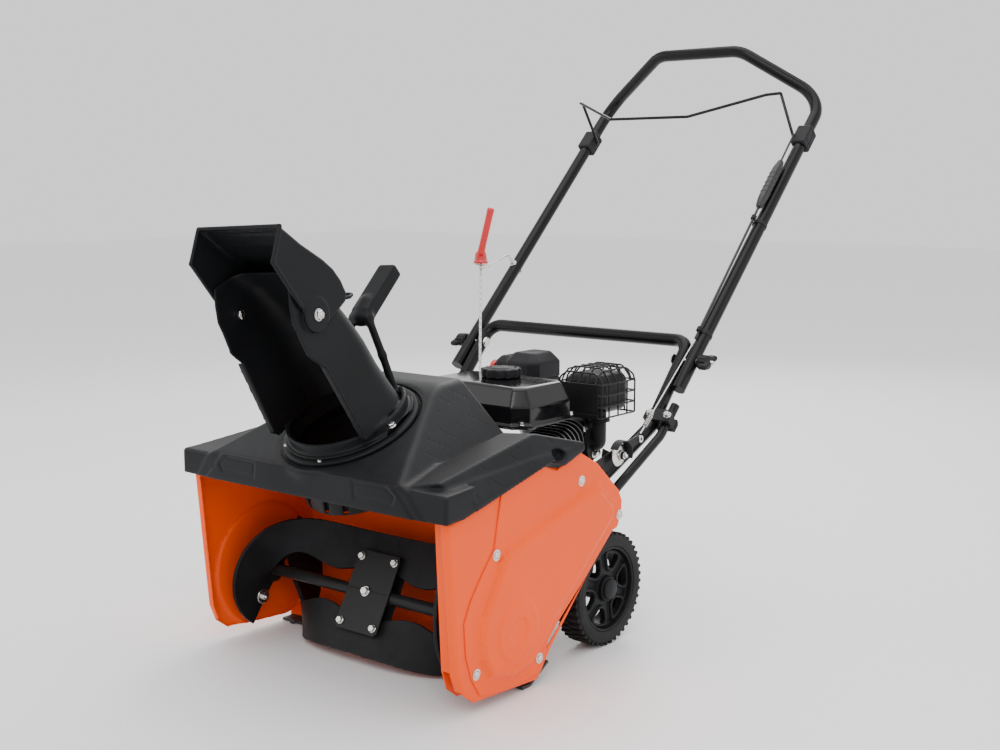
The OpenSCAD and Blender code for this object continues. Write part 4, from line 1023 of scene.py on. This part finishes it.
def cylinder():
    t = math.radians(15)
    o = A((0, CR_Y, CR_Z))
    ax = A((0, math.cos(t), math.sin(t)))
    up = A((0, -math.sin(t), math.cos(t)))
    def disc(S, a, b, hx, hz, rad):
        pts = []
        for cx, cz, q in ((hx - rad, hz - rad, 0), (-hx + rad, hz - rad, 90), (-hx + rad, -hz + rad, 180),
                (hx - rad, -hz + rad, 270)):
            pts += [(76 + cx + rad * math.cos(math.radians(q + k * 15)),
                    cz + rad * math.sin(math.radians(q + k * 15)))
                    for k in range(7)]
        S.prism(pts, o, (1, 0, 0), up, -b, -a)
    S, E = Soup(), Soup()
    for i in range(10):
        a = 105 + 10.4 * i
        disc(S, a, a + 2.8, 43.5, 45.5, 26)
        disc(E, a + 0.8, a + 2.0, 43.9, 45.9, 26)
    S.lathe([(34, 0), (40, 0), (40, 108), (34, 108)], o + A((76, 0, 0)) + ax * 101, ax, 48)
    S.done("cylinder_fins", "matte", "chassis", replaces=("cylinder_block",), slot="cast_alloy", angle=35)
    E.done("fin_edges", "alloy", "chassis", slot="cast_alloy", angle=35)
    S = Soup()
    disc(S, 209.4, 236, 43, 39, 12)
    disc(S, 209.4, 213, 44, 40, 12)
    disc(S, 236, 239, 38, 34, 12)
    S.done("valve_cover", "matte", "chassis", replaces=("head_cover",), slot="engine_matte", bevel=1.5)
    S = Soup()
    for px in (-36, 36):
        for pz in (-32, 32):
            S.hexbolt(o + A((76 + px, 0, 0)) + up * pz + ax * 236, ax, 8, 4)
    S.hexbolt(o + A((110, 0, 0)) + up * 24 + ax * 205, A((1, 0, 0.6)), 16, 10)
    S.done("head_bolts", "zinc", "chassis", slot="zinc", angle=30)
    S = Soup()
    S.lathe([(0.1, 0), (100, 0), (100, 3), (0.1, 3)], (-44, CR_Y, CR_Z), (1, 0, 0), 72)
    S.lathe([(97, 0), (98.5, -2), (100, 2), (100, 68), (98.6, 71), (97, 71)], (-43.4, CR_Y, CR_Z),
            (1, 0, 0), 96)
    for k in range(4):
        a = math.radians(45 + 90 * k)
        S.lathe([(0.1, 0), (9, 0), (8, 3), (0.1, 3)],
                (-47, CR_Y + 94 * math.cos(a), CR_Z + 94 * math.sin(a)), (1, 0, 0), 24)
    S.done("fan_shroud", "matte", "chassis", replaces=("fan_housing",), slot="engine_matte", angle=35)
    S = Soup()
    S.lathe([(80, 0), (88, 0), (88, 26), (83, 34), (78, 35.6), (52, 35.6), (48, 32), (0.1, 32), (0.1, 30),
            (46, 30), (80, 30)],
            (-44.3, CR_Y, CR_Z), (-1, 0, 0), 96)
    for k in range(24):
        a = math.radians(15 * k)
        u, w = A((0, math.cos(a), math.sin(a))), A((0, -math.sin(a), math.cos(a)))
        S.prism([(54, -2.4), (77, -2.4), (77, 1.2), (54, 1.2)], (-80, CR_Y, CR_Z), u, w, -1.6, 1.2)
    S.tube([(-66, 52, 264), (-66, 52 + 58 * math.sin(math.radians(70)),
            264 + 58 * math.cos(math.radians(70)))], 20, 28)
    S.done("recoil_cover", "matte", "chassis", replaces=("recoil_housing",), slot="engine_matte", angle=35)
    S = Soup()
    for k in range(3):
        a = math.radians(30 + 120 * k)
        S.hexbolt((-78, CR_Y + 83 * math.cos(a), CR_Z + 83 * math.sin(a)), (-1, 0, 0), 8, 4, washer=6)
    S.hexbolt((-76.3, CR_Y, CR_Z), (-1, 0, 0), 13, 6, washer=10)
    S.done("recoil_bolts", "zinc", "chassis", slot="zinc", angle=30)
    S = Soup()
    S.lathe([(20, 0), (80, 0), (85, 5), (85, 143), (80, 148), (34, 148), (30, 162), (12, 162), (12, 140),
            (20, 140)],
            (28, CR_Y, CR_Z), (1, 0, 0), 72)
    S.prism([(-88, 144.4), (70, 144.4), (70, 235), (40, 250), (-70, 250), (-88, 232)], (0, 0, 0), (0, 1, 0),
            (0, 0, 1), 29, 175)
    for x in (44, 150):
        S.prism([(-88, 144.4), (88, 144.4), (88, 152), (72, 160), (-88, 160)], (0, 0, 0), (0, 1, 0),
                (0, 0, 1), x - 10, x + 10)
    S.prism([(30, 200), (77, 200), (77, 290), (30, 290)], (0, 0, 0), (0, 1, 0), (0, 0, 1), 34, 118)
    S.done("crankcase_casting", "alloy_dark", "chassis", replaces=("crankcase",), slot="cast_alloy", bevel=2)
    S = Soup()
    for k in range(8):
        a = math.radians(22 + 45 * k)
        S.hexbolt((176, CR_Y + 76 * math.cos(a), CR_Z + 76 * math.sin(a)), (1, 0, 0), 8, 5)
    for x in (44, 150):
        S.hexbolt((x, 78, 152), (0, 0, 1), 12, 6, washer=9)
    S.lathe([(0.1, 0), (9, 0), (11, 2), (11, 10), (9, 13), (0.1, 13)], (160, 70, 190), (0, 1, 0.3), 24)
    S.done("crankcase_bolts", "zinc", "chassis", slot="zinc", angle=30)


cylinder()


def clutch():
    ly, lz = 80.0, 318.0
    S = Soup()
    S.lathe([(0.1, 0), (19, 0), (19, 2), (16, 4), (9, 5), (8, 7.5), (0.1, 7.5)], (252.4, ly, lz), (1, 0, 0),
            48)
    S.hexbolt((259.8, ly, lz), (1, 0, 0), 12, 5, washer=8)
    S.lathe([(0.1, 0), (3.6, 0), (3.6, 3), (2.6, 4.5), (0.1, 4.5)], (265.8, ly, lz), (1, 0, 0), 20)
    S.lathe([(2.6, 0), (6, 0), (6, 3), (2.6, 3)], (250, ly + 69, lz + 16), (1, 0, 0), 20)
    S.done("pivot_disc", "zinc", "clutch", replaces=("clutch_lever",), slot="dark_steel", angle=35)
    S = Soup()
    S.prism([(ly - 4, lz + 10), (ly + 66, lz + 23), (ly + 74, lz + 20), (ly + 75, lz + 12),
            (ly + 4, lz - 10), (ly - 6, lz - 6)],
            (0, 0, 0), (0, 1, 0), (0, 0, 1), 247, 250)
    S.prism([(ly, lz - 7), (ly + 4, lz), (ly, lz + 7), (-87.5, 283), (-94.5, 276), (-87.5, 269)], (0, 0, 0),
            (0, 1, 0), (0, 0, 1),
            240.5, 243.5)
    S.lathe([(0.1, 0), (7, 0), (7, 26), (0.1, 26)], (240, ly, lz), (1, 0, 0), 24)
    S.lathe([(0.1, 0), (4, 0), (4, 21.5), (0.1, 21.5)], (240.5, -87.5, 275.8), (1, 0, 0), 24)
    S.done("lever_arms", "steel_black", "clutch", slot="black_steel", bevel=0.8)
    S = Soup()
    arc = [(ly + 25 * math.cos(math.radians(q)), lz + 25 * math.sin(math.radians(q))) for q in range(-20,
            151, 10)]
    inner = [(ly + 22.6 * math.cos(math.radians(q)),
            lz + 22.6 * math.sin(math.radians(q))) for q in range(150, -21, -10)]
    S.prism(arc + inner, (0, 0, 0), (0, 1, 0), (0, 0, 1), 251, 266)
    S.prism([(ly - 22, lz + 12), (ly + 24, lz - 8), (ly + 20, lz - 30), (ly - 30, lz - 30)], (0, 0, 0),
            (0, 1, 0), (0, 0, 1), 236, 239)
    S.done("disc_guard", "steel_black", "chassis", slot="black_steel", bevel=0.8)


clutch()

# ---------------------------------------------------------------- handles

LEG_X, IN_X, PITCH = 252.8, 228.0, math.radians(44.5)
DIR, UP = A((0, math.cos(PITCH), math.sin(PITCH))), A((0, -math.sin(PITCH), math.cos(PITCH)))
FOLD = A((0, 310, 449))
at_leg = lambda s, x, up=0: FOLD + A((x, 0, 0)) + DIR * s + UP * up
BAIL_Y = 712.0
BAIL_Z = 449 + 402 * math.tan(PITCH)
CORNER = (792.65, 449 + 482.65 * math.tan(PITCH))


def tubes():
    S = Soup()
    S.tube([at_leg(-64, LEG_X), (LEG_X, *CORNER), (96, 737, 1022), (-96, 737, 1022), (-LEG_X, *CORNER),
            at_leg(-64, -LEG_X)], 24, 32, 62, 16)
    S.done("upper_tube", "tube", "upper_handle", replaces=("upper_handle",), slot="black_tube", angle=50)
    S = Soup()
    S.tube([(IN_X, 50, 270.5), (IN_X, 217, 343), at_leg(44, IN_X), at_leg(44, -IN_X), (-IN_X, 217, 343),
            (-IN_X, 50, 270.5)], 24, 32, 28, 12)
    S.done("lower_tube", "tube", "chassis", replaces=("lower_handle",), slot="black_tube", angle=50)
    S = Soup()
    for s in (-1, 1):
        S.tube([(s * LEG_X, 66, 258), (s * LEG_X, 208, 330), (s * LEG_X, 256, 377)], 16, 24, 40, 12)
    S.done("stay_tubes", "tube", "chassis", replaces=("handle_stays",), slot="black_tube", angle=50)
    S = Soup()
    S.tube([(240, BAIL_Y, BAIL_Z), (232.5, BAIL_Y, BAIL_Z), (232.5, 652, 929), (216, 624, 925),
            (89, 549, 885),
            (-89, 549, 885), (-216, 624, 925), (-232.5, 652, 929), (-232.5, BAIL_Y, BAIL_Z),
                    (-240, BAIL_Y, BAIL_Z)],
           6, 14, 4, 6)
    S.done("bail_wire", "tube", "bail", replaces=("bail",), slot="black_tube", angle=60)


tubes()


def clamp_block(F, c, half, r):
    """Distance to a rounded block whose length lies along the leg."""
    x, y, z = F.x - c[0], F.y - c[1], F.z - c[2]
    a = y * DIR[1] + z * DIR[2]
    u = y * UP[1] + z * UP[2]
    return rbox(x, a, u, [-h for h in half], half, r), x, a, u


def brackets():
    for s, tag in ((1, "right"), (-1, "left")):
        F = Field((s * LEG_X - 22, BAIL_Y - 36, BAIL_Z - 36), (s * LEG_X + 22, BAIL_Y + 36, BAIL_Z + 36), 1.2)
        d, x, a, u = clamp_block(F, (s * LEG_X, BAIL_Y, BAIL_Z), (15.5, 24, 15.5), 4)
        d = smax(d, -(np.abs(np.abs(a) - 13) - 1.2 + np.clip(15.0 - np.abs(x), 0, 9)), 0.5)
        boss = np.maximum(np.hypot(a, u) - 8.5, np.abs(x + s * 14.5) - 3.6)
        d = smin(d, boss, 2)
        d = smax(d, -(np.hypot(x, u) - 12.3), 0.4)
        d = smax(d, -np.maximum(np.abs(u) - 0.6, -s * x + 4), 0.3)
        F.done(d, "bail_clamp_" + tag, "matte", "upper_handle", ("bail_brackets",) if s > 0 else (),
                "black_steel", smooth=1)


brackets()


def knobs_and_bolts():
    for s, tag in ((1, "right"), (-1, "left")):
        F = Field((263, 280, 418), (306, 340, 480), 1.1)
        x, y, z = F.x, F.y - 310, F.z - 449
        r = np.hypot(y, z)
        hub = extrude(r - 13, x, 265.9, 286, 3)
        c, w = math.cos(0.35), math.sin(0.35)
        a, b = y * c + z * w, -y * w + z * c
        wing = rbox(x, a, b, (274, -23, -5.2), (292.5, 23, 5.2), 5)
        d = smin(hub, wing, 5)
        for k in range(12):
            q = math.radians(30 * k)
            d = smax(d, -(np.maximum(np.hypot(y - 13.8 * math.cos(q), z - 13.8 * math.sin(q)) - 1.5,
                    x - 284)), 0.8)
        d = np.maximum(d, -(r - 4.1))
        F.done(d, "wing_knob_" + tag, "matte", "knob_" + tag[0], ("knob_" + tag,), "engine_matte", smooth=1,
               place=(lambda v, s=s: v * A((s, 1, 1))))
    S = Soup()
    for s in (-1, 1):
        S.lathe([(0.1, 0), (4, 0), (4, 74), (3.2, 76), (0.1, 76)], (s * 220, 310, 449), (s, 0, 0), 24)
        S.lathe([(0.1, 0), (8, 0), (10, 2.5), (10, 3.2), (0.1, 3.2)], (s * 212.4, 310, 449), (s, 0, 0), 32)
        S.lathe([(4, 0), (9.5, 0), (9.5, 1.4), (4, 1.4)], (s * 264.9, 310, 449), (s, 0, 0), 32)
    S.done("carriage_bolts", "zinc", "chassis", replaces=("handle_bolts",), slot="zinc", angle=35)
    S = Soup()
    for s in (-1, 1):
        c = A((s * 242.4, 230, 355))
        for k in (-1, 1):
            S.prism([(-24, -6), (-20, -12), (20, -12), (24, -6), (24, 6), (20, 12), (-20, 12), (-24, 6)],
                    c + UP * (13.6 * k), (1, 0, 0), DIR, -1.4, 1.4)
    S.done("clip_plates", "steel_black", "chassis", slot="black_steel", bevel=0.8)
    S = Soup()
    for s in (-1, 1):
        c = A((s * 242.4, 230, 355))
        for o in (-17, 17):
            S.hexbolt(c + UP * 15 + A((o, 0, 0)), UP, 10, 5, washer=7)
    S.done("clip_bolts", "zinc", "chassis", slot="zinc", angle=30)


knobs_and_bolts()


def cables():
    cx = LEG_X - 6
    S = Soup()
    S.tube([at_leg(540, cx, 26), at_leg(470, cx, 24)], 4, 12)
    S.tube([at_leg(360, cx, 22), at_leg(300, cx, 20), at_leg(180, cx, 17), at_leg(40, cx, 14)], 5, 12, 30, 6)
    S.tube([(240, 640, 922), at_leg(548, cx, 27), at_leg(520, cx, 25.5)], 2.4, 8, 6, 4)
    S.done("cable_outer", "sheath", "upper_handle", slot="cable_sheath", angle=50)
    S = Soup()
    prof = [(0.1, 0), (5, 0), (6.5, 3), (7.5, 10), (9, 18), (9.4, 24), (9.4, 96), (9, 102), (7.5, 110),
            (6.5, 117),
            (5, 120), (0.1, 120)]
    S.lathe(prof, at_leg(356, cx, 22), at_leg(476, cx, 24) - at_leg(356, cx, 22), 32)
    for k in range(5):
        c = at_leg(356, cx, 22) + (at_leg(476, cx, 24) - at_leg(356, cx, 22)) * (0.3 + 0.1 * k)
        S.lathe([(9.3, -1.5), (10.1, -0.8), (10.1, 0.8), (9.3, 1.5)], c,
                at_leg(476, cx, 24) - at_leg(356, cx, 22), 32)
    S.done("spring_sleeve", "sheath", "upper_handle", replaces=("clutch_cable_upper",), slot="cable_sheath",
            angle=40)
    S = Soup()
    for s0 in (60, 330):
        c = at_leg(s0, LEG_X - 1)
        S.lathe([(12.2, -4), (13.6, -4), (14, 0), (13.6, 4), (12.2, 4)], c, DIR, 32)
        S.lathe([(3, -4), (5, -4), (5, 4), (3, 4)], at_leg(s0, cx, 15.5 if s0 < 100 else 21), DIR, 24)
    S.done("cable_ties", "matte", "upper_handle", slot="black_steel", angle=40)
    S = Soup()
    a, b = at_leg(30, cx, 14), A((248.5, 152, 342))
    d = b - a
    S.tube([a, a + d * 0.8], 2.2, 10)
    n = 7
    turns = [a + d * (0.8 + 0.12 * i / (n * 10)) for i in range(n * 10 + 1)]
    e1 = A((1.0, 0, 0))
    e2 = np.cross(d, e1)
    e2 /= np.linalg.norm(e2)
    S.tube([p + (e1 * math.cos(i * 0.628) + e2 * math.sin(i * 0.628)) * 4 for i, p in enumerate(turns)],
            1.6, 8)
    S.tube([a + d * 0.92, b], 2.6, 10)
    S.done("clutch_spring", "zinc", "chassis", replaces=("clutch_cable_lower",), slot="zinc", angle=50)


cables()

# ---------------------------------------------------------------- wheels

def wheel(s, tag):
    cy, cz, x0, x1 = 61.0, 95.0, 204.0, 254.0
    S = Soup()
    x0 = x0 if s > 0 else -x1
    tread = [(72, 1), (80, 0), (88, 1), (91.5, 5), (91.8, 12), (91.8, 38), (91.5, 45), (88, 49), (80, 50),
            (72, 49),
             (70, 45), (70, 5)]
    S.lathe(tread, (x0, cy, cz), (1, 0, 0), 96)
    n = 44
    for i in range(n):
        for h0, h1, o in ((2.5, 24, 0), (26, 47.5, 0.5)):
            a = 2 * math.pi * (i + o) / n
            u, w = A((0, math.cos(a), math.sin(a))), A((0, -math.sin(a), math.cos(a)))
            c = A((x0, cy, cz))
            slot = 3.3
            sect = [(90, -slot), (94.2, -slot * 0.82), (94.9, -slot * 0.5), (94.9, slot * 0.5),
                    (94.2, slot * 0.82), (90, slot)]
            S.prism([(p, q) for p, q in sect], c, u, w, h0, h1)
    S.done("tyre_" + tag, "tyre", "wheel_" + tag[0], slot="wheel_rubber", angle=35)


def hub(s, tag):
    F = Field((203, -18, 16), (256, 140, 174), 1.5)
    x, y, z = F.x, F.y - 61, F.z - 95
    r = np.hypot(y, z)
    a = np.arctan2(z, y)
    web = np.maximum(np.abs(x - 238) - 3, r - 71)
    lobes = 6
    k = ((a + 0.35) * lobes / (2 * math.pi)) % 1.0 - 0.5
    window = smax(np.abs(k) * 2 * math.pi / lobes * r - (math.pi / lobes * r - 9),
            np.maximum(31 - r, r - 62), 9)
    web = smax(web, -np.maximum(window, 236 - x), 2)
    lip = np.abs(window) - 2.4
    lip = np.maximum(lip, np.maximum(236 - x, x - 246))
    hubs = np.maximum(r - 21, np.maximum(208 - x, x - 251))
    cap = smax(r - 17, np.abs(x - 247) - 5.5, 2)
    rim = np.maximum(np.abs(r - 69) - 2.6, np.maximum(206 - x, x - 252))
    d = smin(smin(web, lip, 1.5), smin(smin(hubs, cap, 1), rim, 3), 3)
    d = smax(d, -(window + 3.5), 1)
    d = np.maximum(d, -(r - 6.1))
    F.done(d, "wheel_hub_" + tag, "chute", "wheel_" + tag[0], ("wheel_" + tag,), "wheel_rubber", smooth=1,
           place=(lambda v: v * A((s, 1, 1))))


def axle():
    S = Soup()
    S.lathe([(0.1, -256), (4.5, -256), (5.5, -254), (5.98, -253), (5.98, 253), (5.5, 254), (4.5, 256),
            (0.1, 256)],
            (0, 61, 95), (1, 0, 0), 24)
    S.done("axle_rod", "zinc", "chassis", replaces=("wheel_axle",), slot="zinc", angle=35)
    S = Soup()
    for s in (-1, 1):
        S.lathe([(0.1, 0), (18, 0), (18, 1.6), (16.5, 3.6), (13, 4.6), (0.1, 5)], (s * 252, 61, 95),
                (s, 0, 0), 48)
    S.done("axle_caps", "chute", "chassis", slot="black_steel", angle=35)


for side, label in ((1, "right"), (-1, "left")):
    wheel(side, label)
    hub(side, label)
axle()

# ---------------------------------------------------------------- starter rope, guide and grip

G = A((-236.0, 318.0, 598.0))


def starter():
    S = Soup()
    S.tube([(-66, 108, 284.5), G + A((0, 0, -5))], 5, 14)
    S.done("rope_run", "rope", "chassis", replaces=("starter_rope",), slot="rope", angle=60)
    S = Soup()
    S.tube([G + A((0, 0, -3)), G + A((0, 0, 21))], 5, 14)
    S.done("rope_end", "rope", "grip", replaces=("pull_rope",), slot="rope", angle=60)
    S = Soup()
    ring = []
    for i in range(49):
        q = math.radians(305 + 330 * i / 48)
        ring.append(G + A((16 * math.cos(q), 16 * math.sin(q), -3 + 8 * i / 48 * 0.8)))
    stalk = [at_leg(198, -LEG_X, 30), at_leg(198, -LEG_X, 36), G + A((14, 56, 16)), G + A((20, 30, 8)),
            ring[0]]
    S.tube(bend(stalk, 12, 6)[:-1] + ring, 4, 12)
    S.tube([at_leg(198, -LEG_X, -18), at_leg(198, -LEG_X, 31)], 5, 14)
    S.done("pigtail_wire", "zinc", "upper_handle", replaces=("rope_guide",), slot="zinc", angle=50)
    S = Soup()
    for k in (-1, 1):
        S.hexbolt(at_leg(198, -LEG_X, 11.8 * k), UP * k, 10, 5, washer=7)
    S.done("guide_nuts", "zinc", "upper_handle", slot="zinc", angle=30)
    lean = A((0.78 * math.sin(0.227), 0.63 * math.sin(0.227), math.cos(0.227)))
    side = A((0.63, -0.78, 0))
    front = np.cross(lean, side)
    F = Field(G + A((-20, -20, 2)), G + A((40, 36, 122)), 1.1)
    x, y, z = F.x - G[0], F.y - G[1], F.z - G[2]
    cone = smax(np.hypot(x, y) - (13.5 - (z - 4) * 0.14), np.abs(z - 15) - 11, 1.5)
    cone = smin(cone, np.maximum(np.hypot(x, y) - 14.5, np.abs(z - 7) - 2.4), 1)
    z0 = z - 24
    a = x * lean[0] + y * lean[1] + z0 * lean[2]
    b = x * side[0] + y * side[1] + z0 * side[2]
    c = x * front[0] + y * front[1] + z0 * front[2]
    loop = rbox(a, b, c, (-4, -13, -7.2), (92, 13, 7.2), 5)
    slot = rbox(a, b, c, (12, -7.5, -20), (80, 7.5, 20), 5)
    loop = smax(loop, -slot, 2)
    for k in range(9):
        loop = smax(loop, -(np.hypot(a - 18 - 7 * k, np.abs(c) - 8.2) - 1.6), 0.8)
    d = smin(cone, loop, 4)
    d = np.maximum(d, -np.maximum(np.hypot(x, y) - 2.8, z - 20))
    F.done(d, "strap_grip", "red", "grip", ("starter_grip",), "red_plastic", smooth=2)


starter()



# ---------------------------------------------------------------- stage, light, camera

bm = bmesh.new()
bmesh.ops.create_grid(bm, x_segments=2, y_segments=2, size=14)
me = bpy.data.meshes.new("floor")
bm.to_mesh(me)
bm.free()
floor = bpy.data.objects.new("floor", me)
bpy.context.scene.collection.objects.link(floor)
floor.location.z = -0.0005
fm, _, fb = shader("floor")
fb.inputs["Base Color"].default_value = (0.93, 0.93, 0.935, 1)
fb.inputs["Roughness"].default_value = 0.55
me.materials.append(fm)


def area(name, at, look, size, power, size_y=None):
    d = bpy.data.lights.new(name, "AREA")
    d.energy, d.size = power, size
    if size_y:
        d.shape, d.size_y = "RECTANGLE", size_y
    o = bpy.data.objects.new(name, d)
    bpy.context.scene.collection.objects.link(o)
    o.location = at
    o.rotation_euler = (Vector(look) - Vector(at)).to_track_quat("-Z", "Y").to_euler()


area("key", (1.6, -2.4, 2.6), (0, 0, 0.4), 1.8, 34)
area("fill", (-2.6, -1.6, 1.7), (0, -0.1, 0.4), 2.2, 14)
area("top", (0, 0.2, 3.2), (0, 0, 0.3), 2.6, 46)
area("rim", (-1.2, 2.6, 2.0), (0, 0, 0.5), 1.8, 34)
area("side", (2.8, 0.9, 1.3), (0, 0, 0.4), 1.6, 10)

world = bpy.data.worlds.new("studio")
bpy.context.scene.world = world
world.use_nodes = True
world.node_tree.nodes["Background"].inputs["Color"].default_value = (1, 1, 1, 1)
world.node_tree.nodes["Background"].inputs["Strength"].default_value = 1.15

cam = bpy.data.cameras.new("camera")
cam.lens, cam.sensor_width = 48.73, 36
co = bpy.data.objects.new("camera", cam)
bpy.context.scene.collection.objects.link(co)
co.location = (1.4677, -1.7383 - MID_Y / 1000, 0.7588)
co.rotation_euler = (math.radians(90 - 8.07), 0, math.radians(38.83))
bpy.context.scene.camera = co
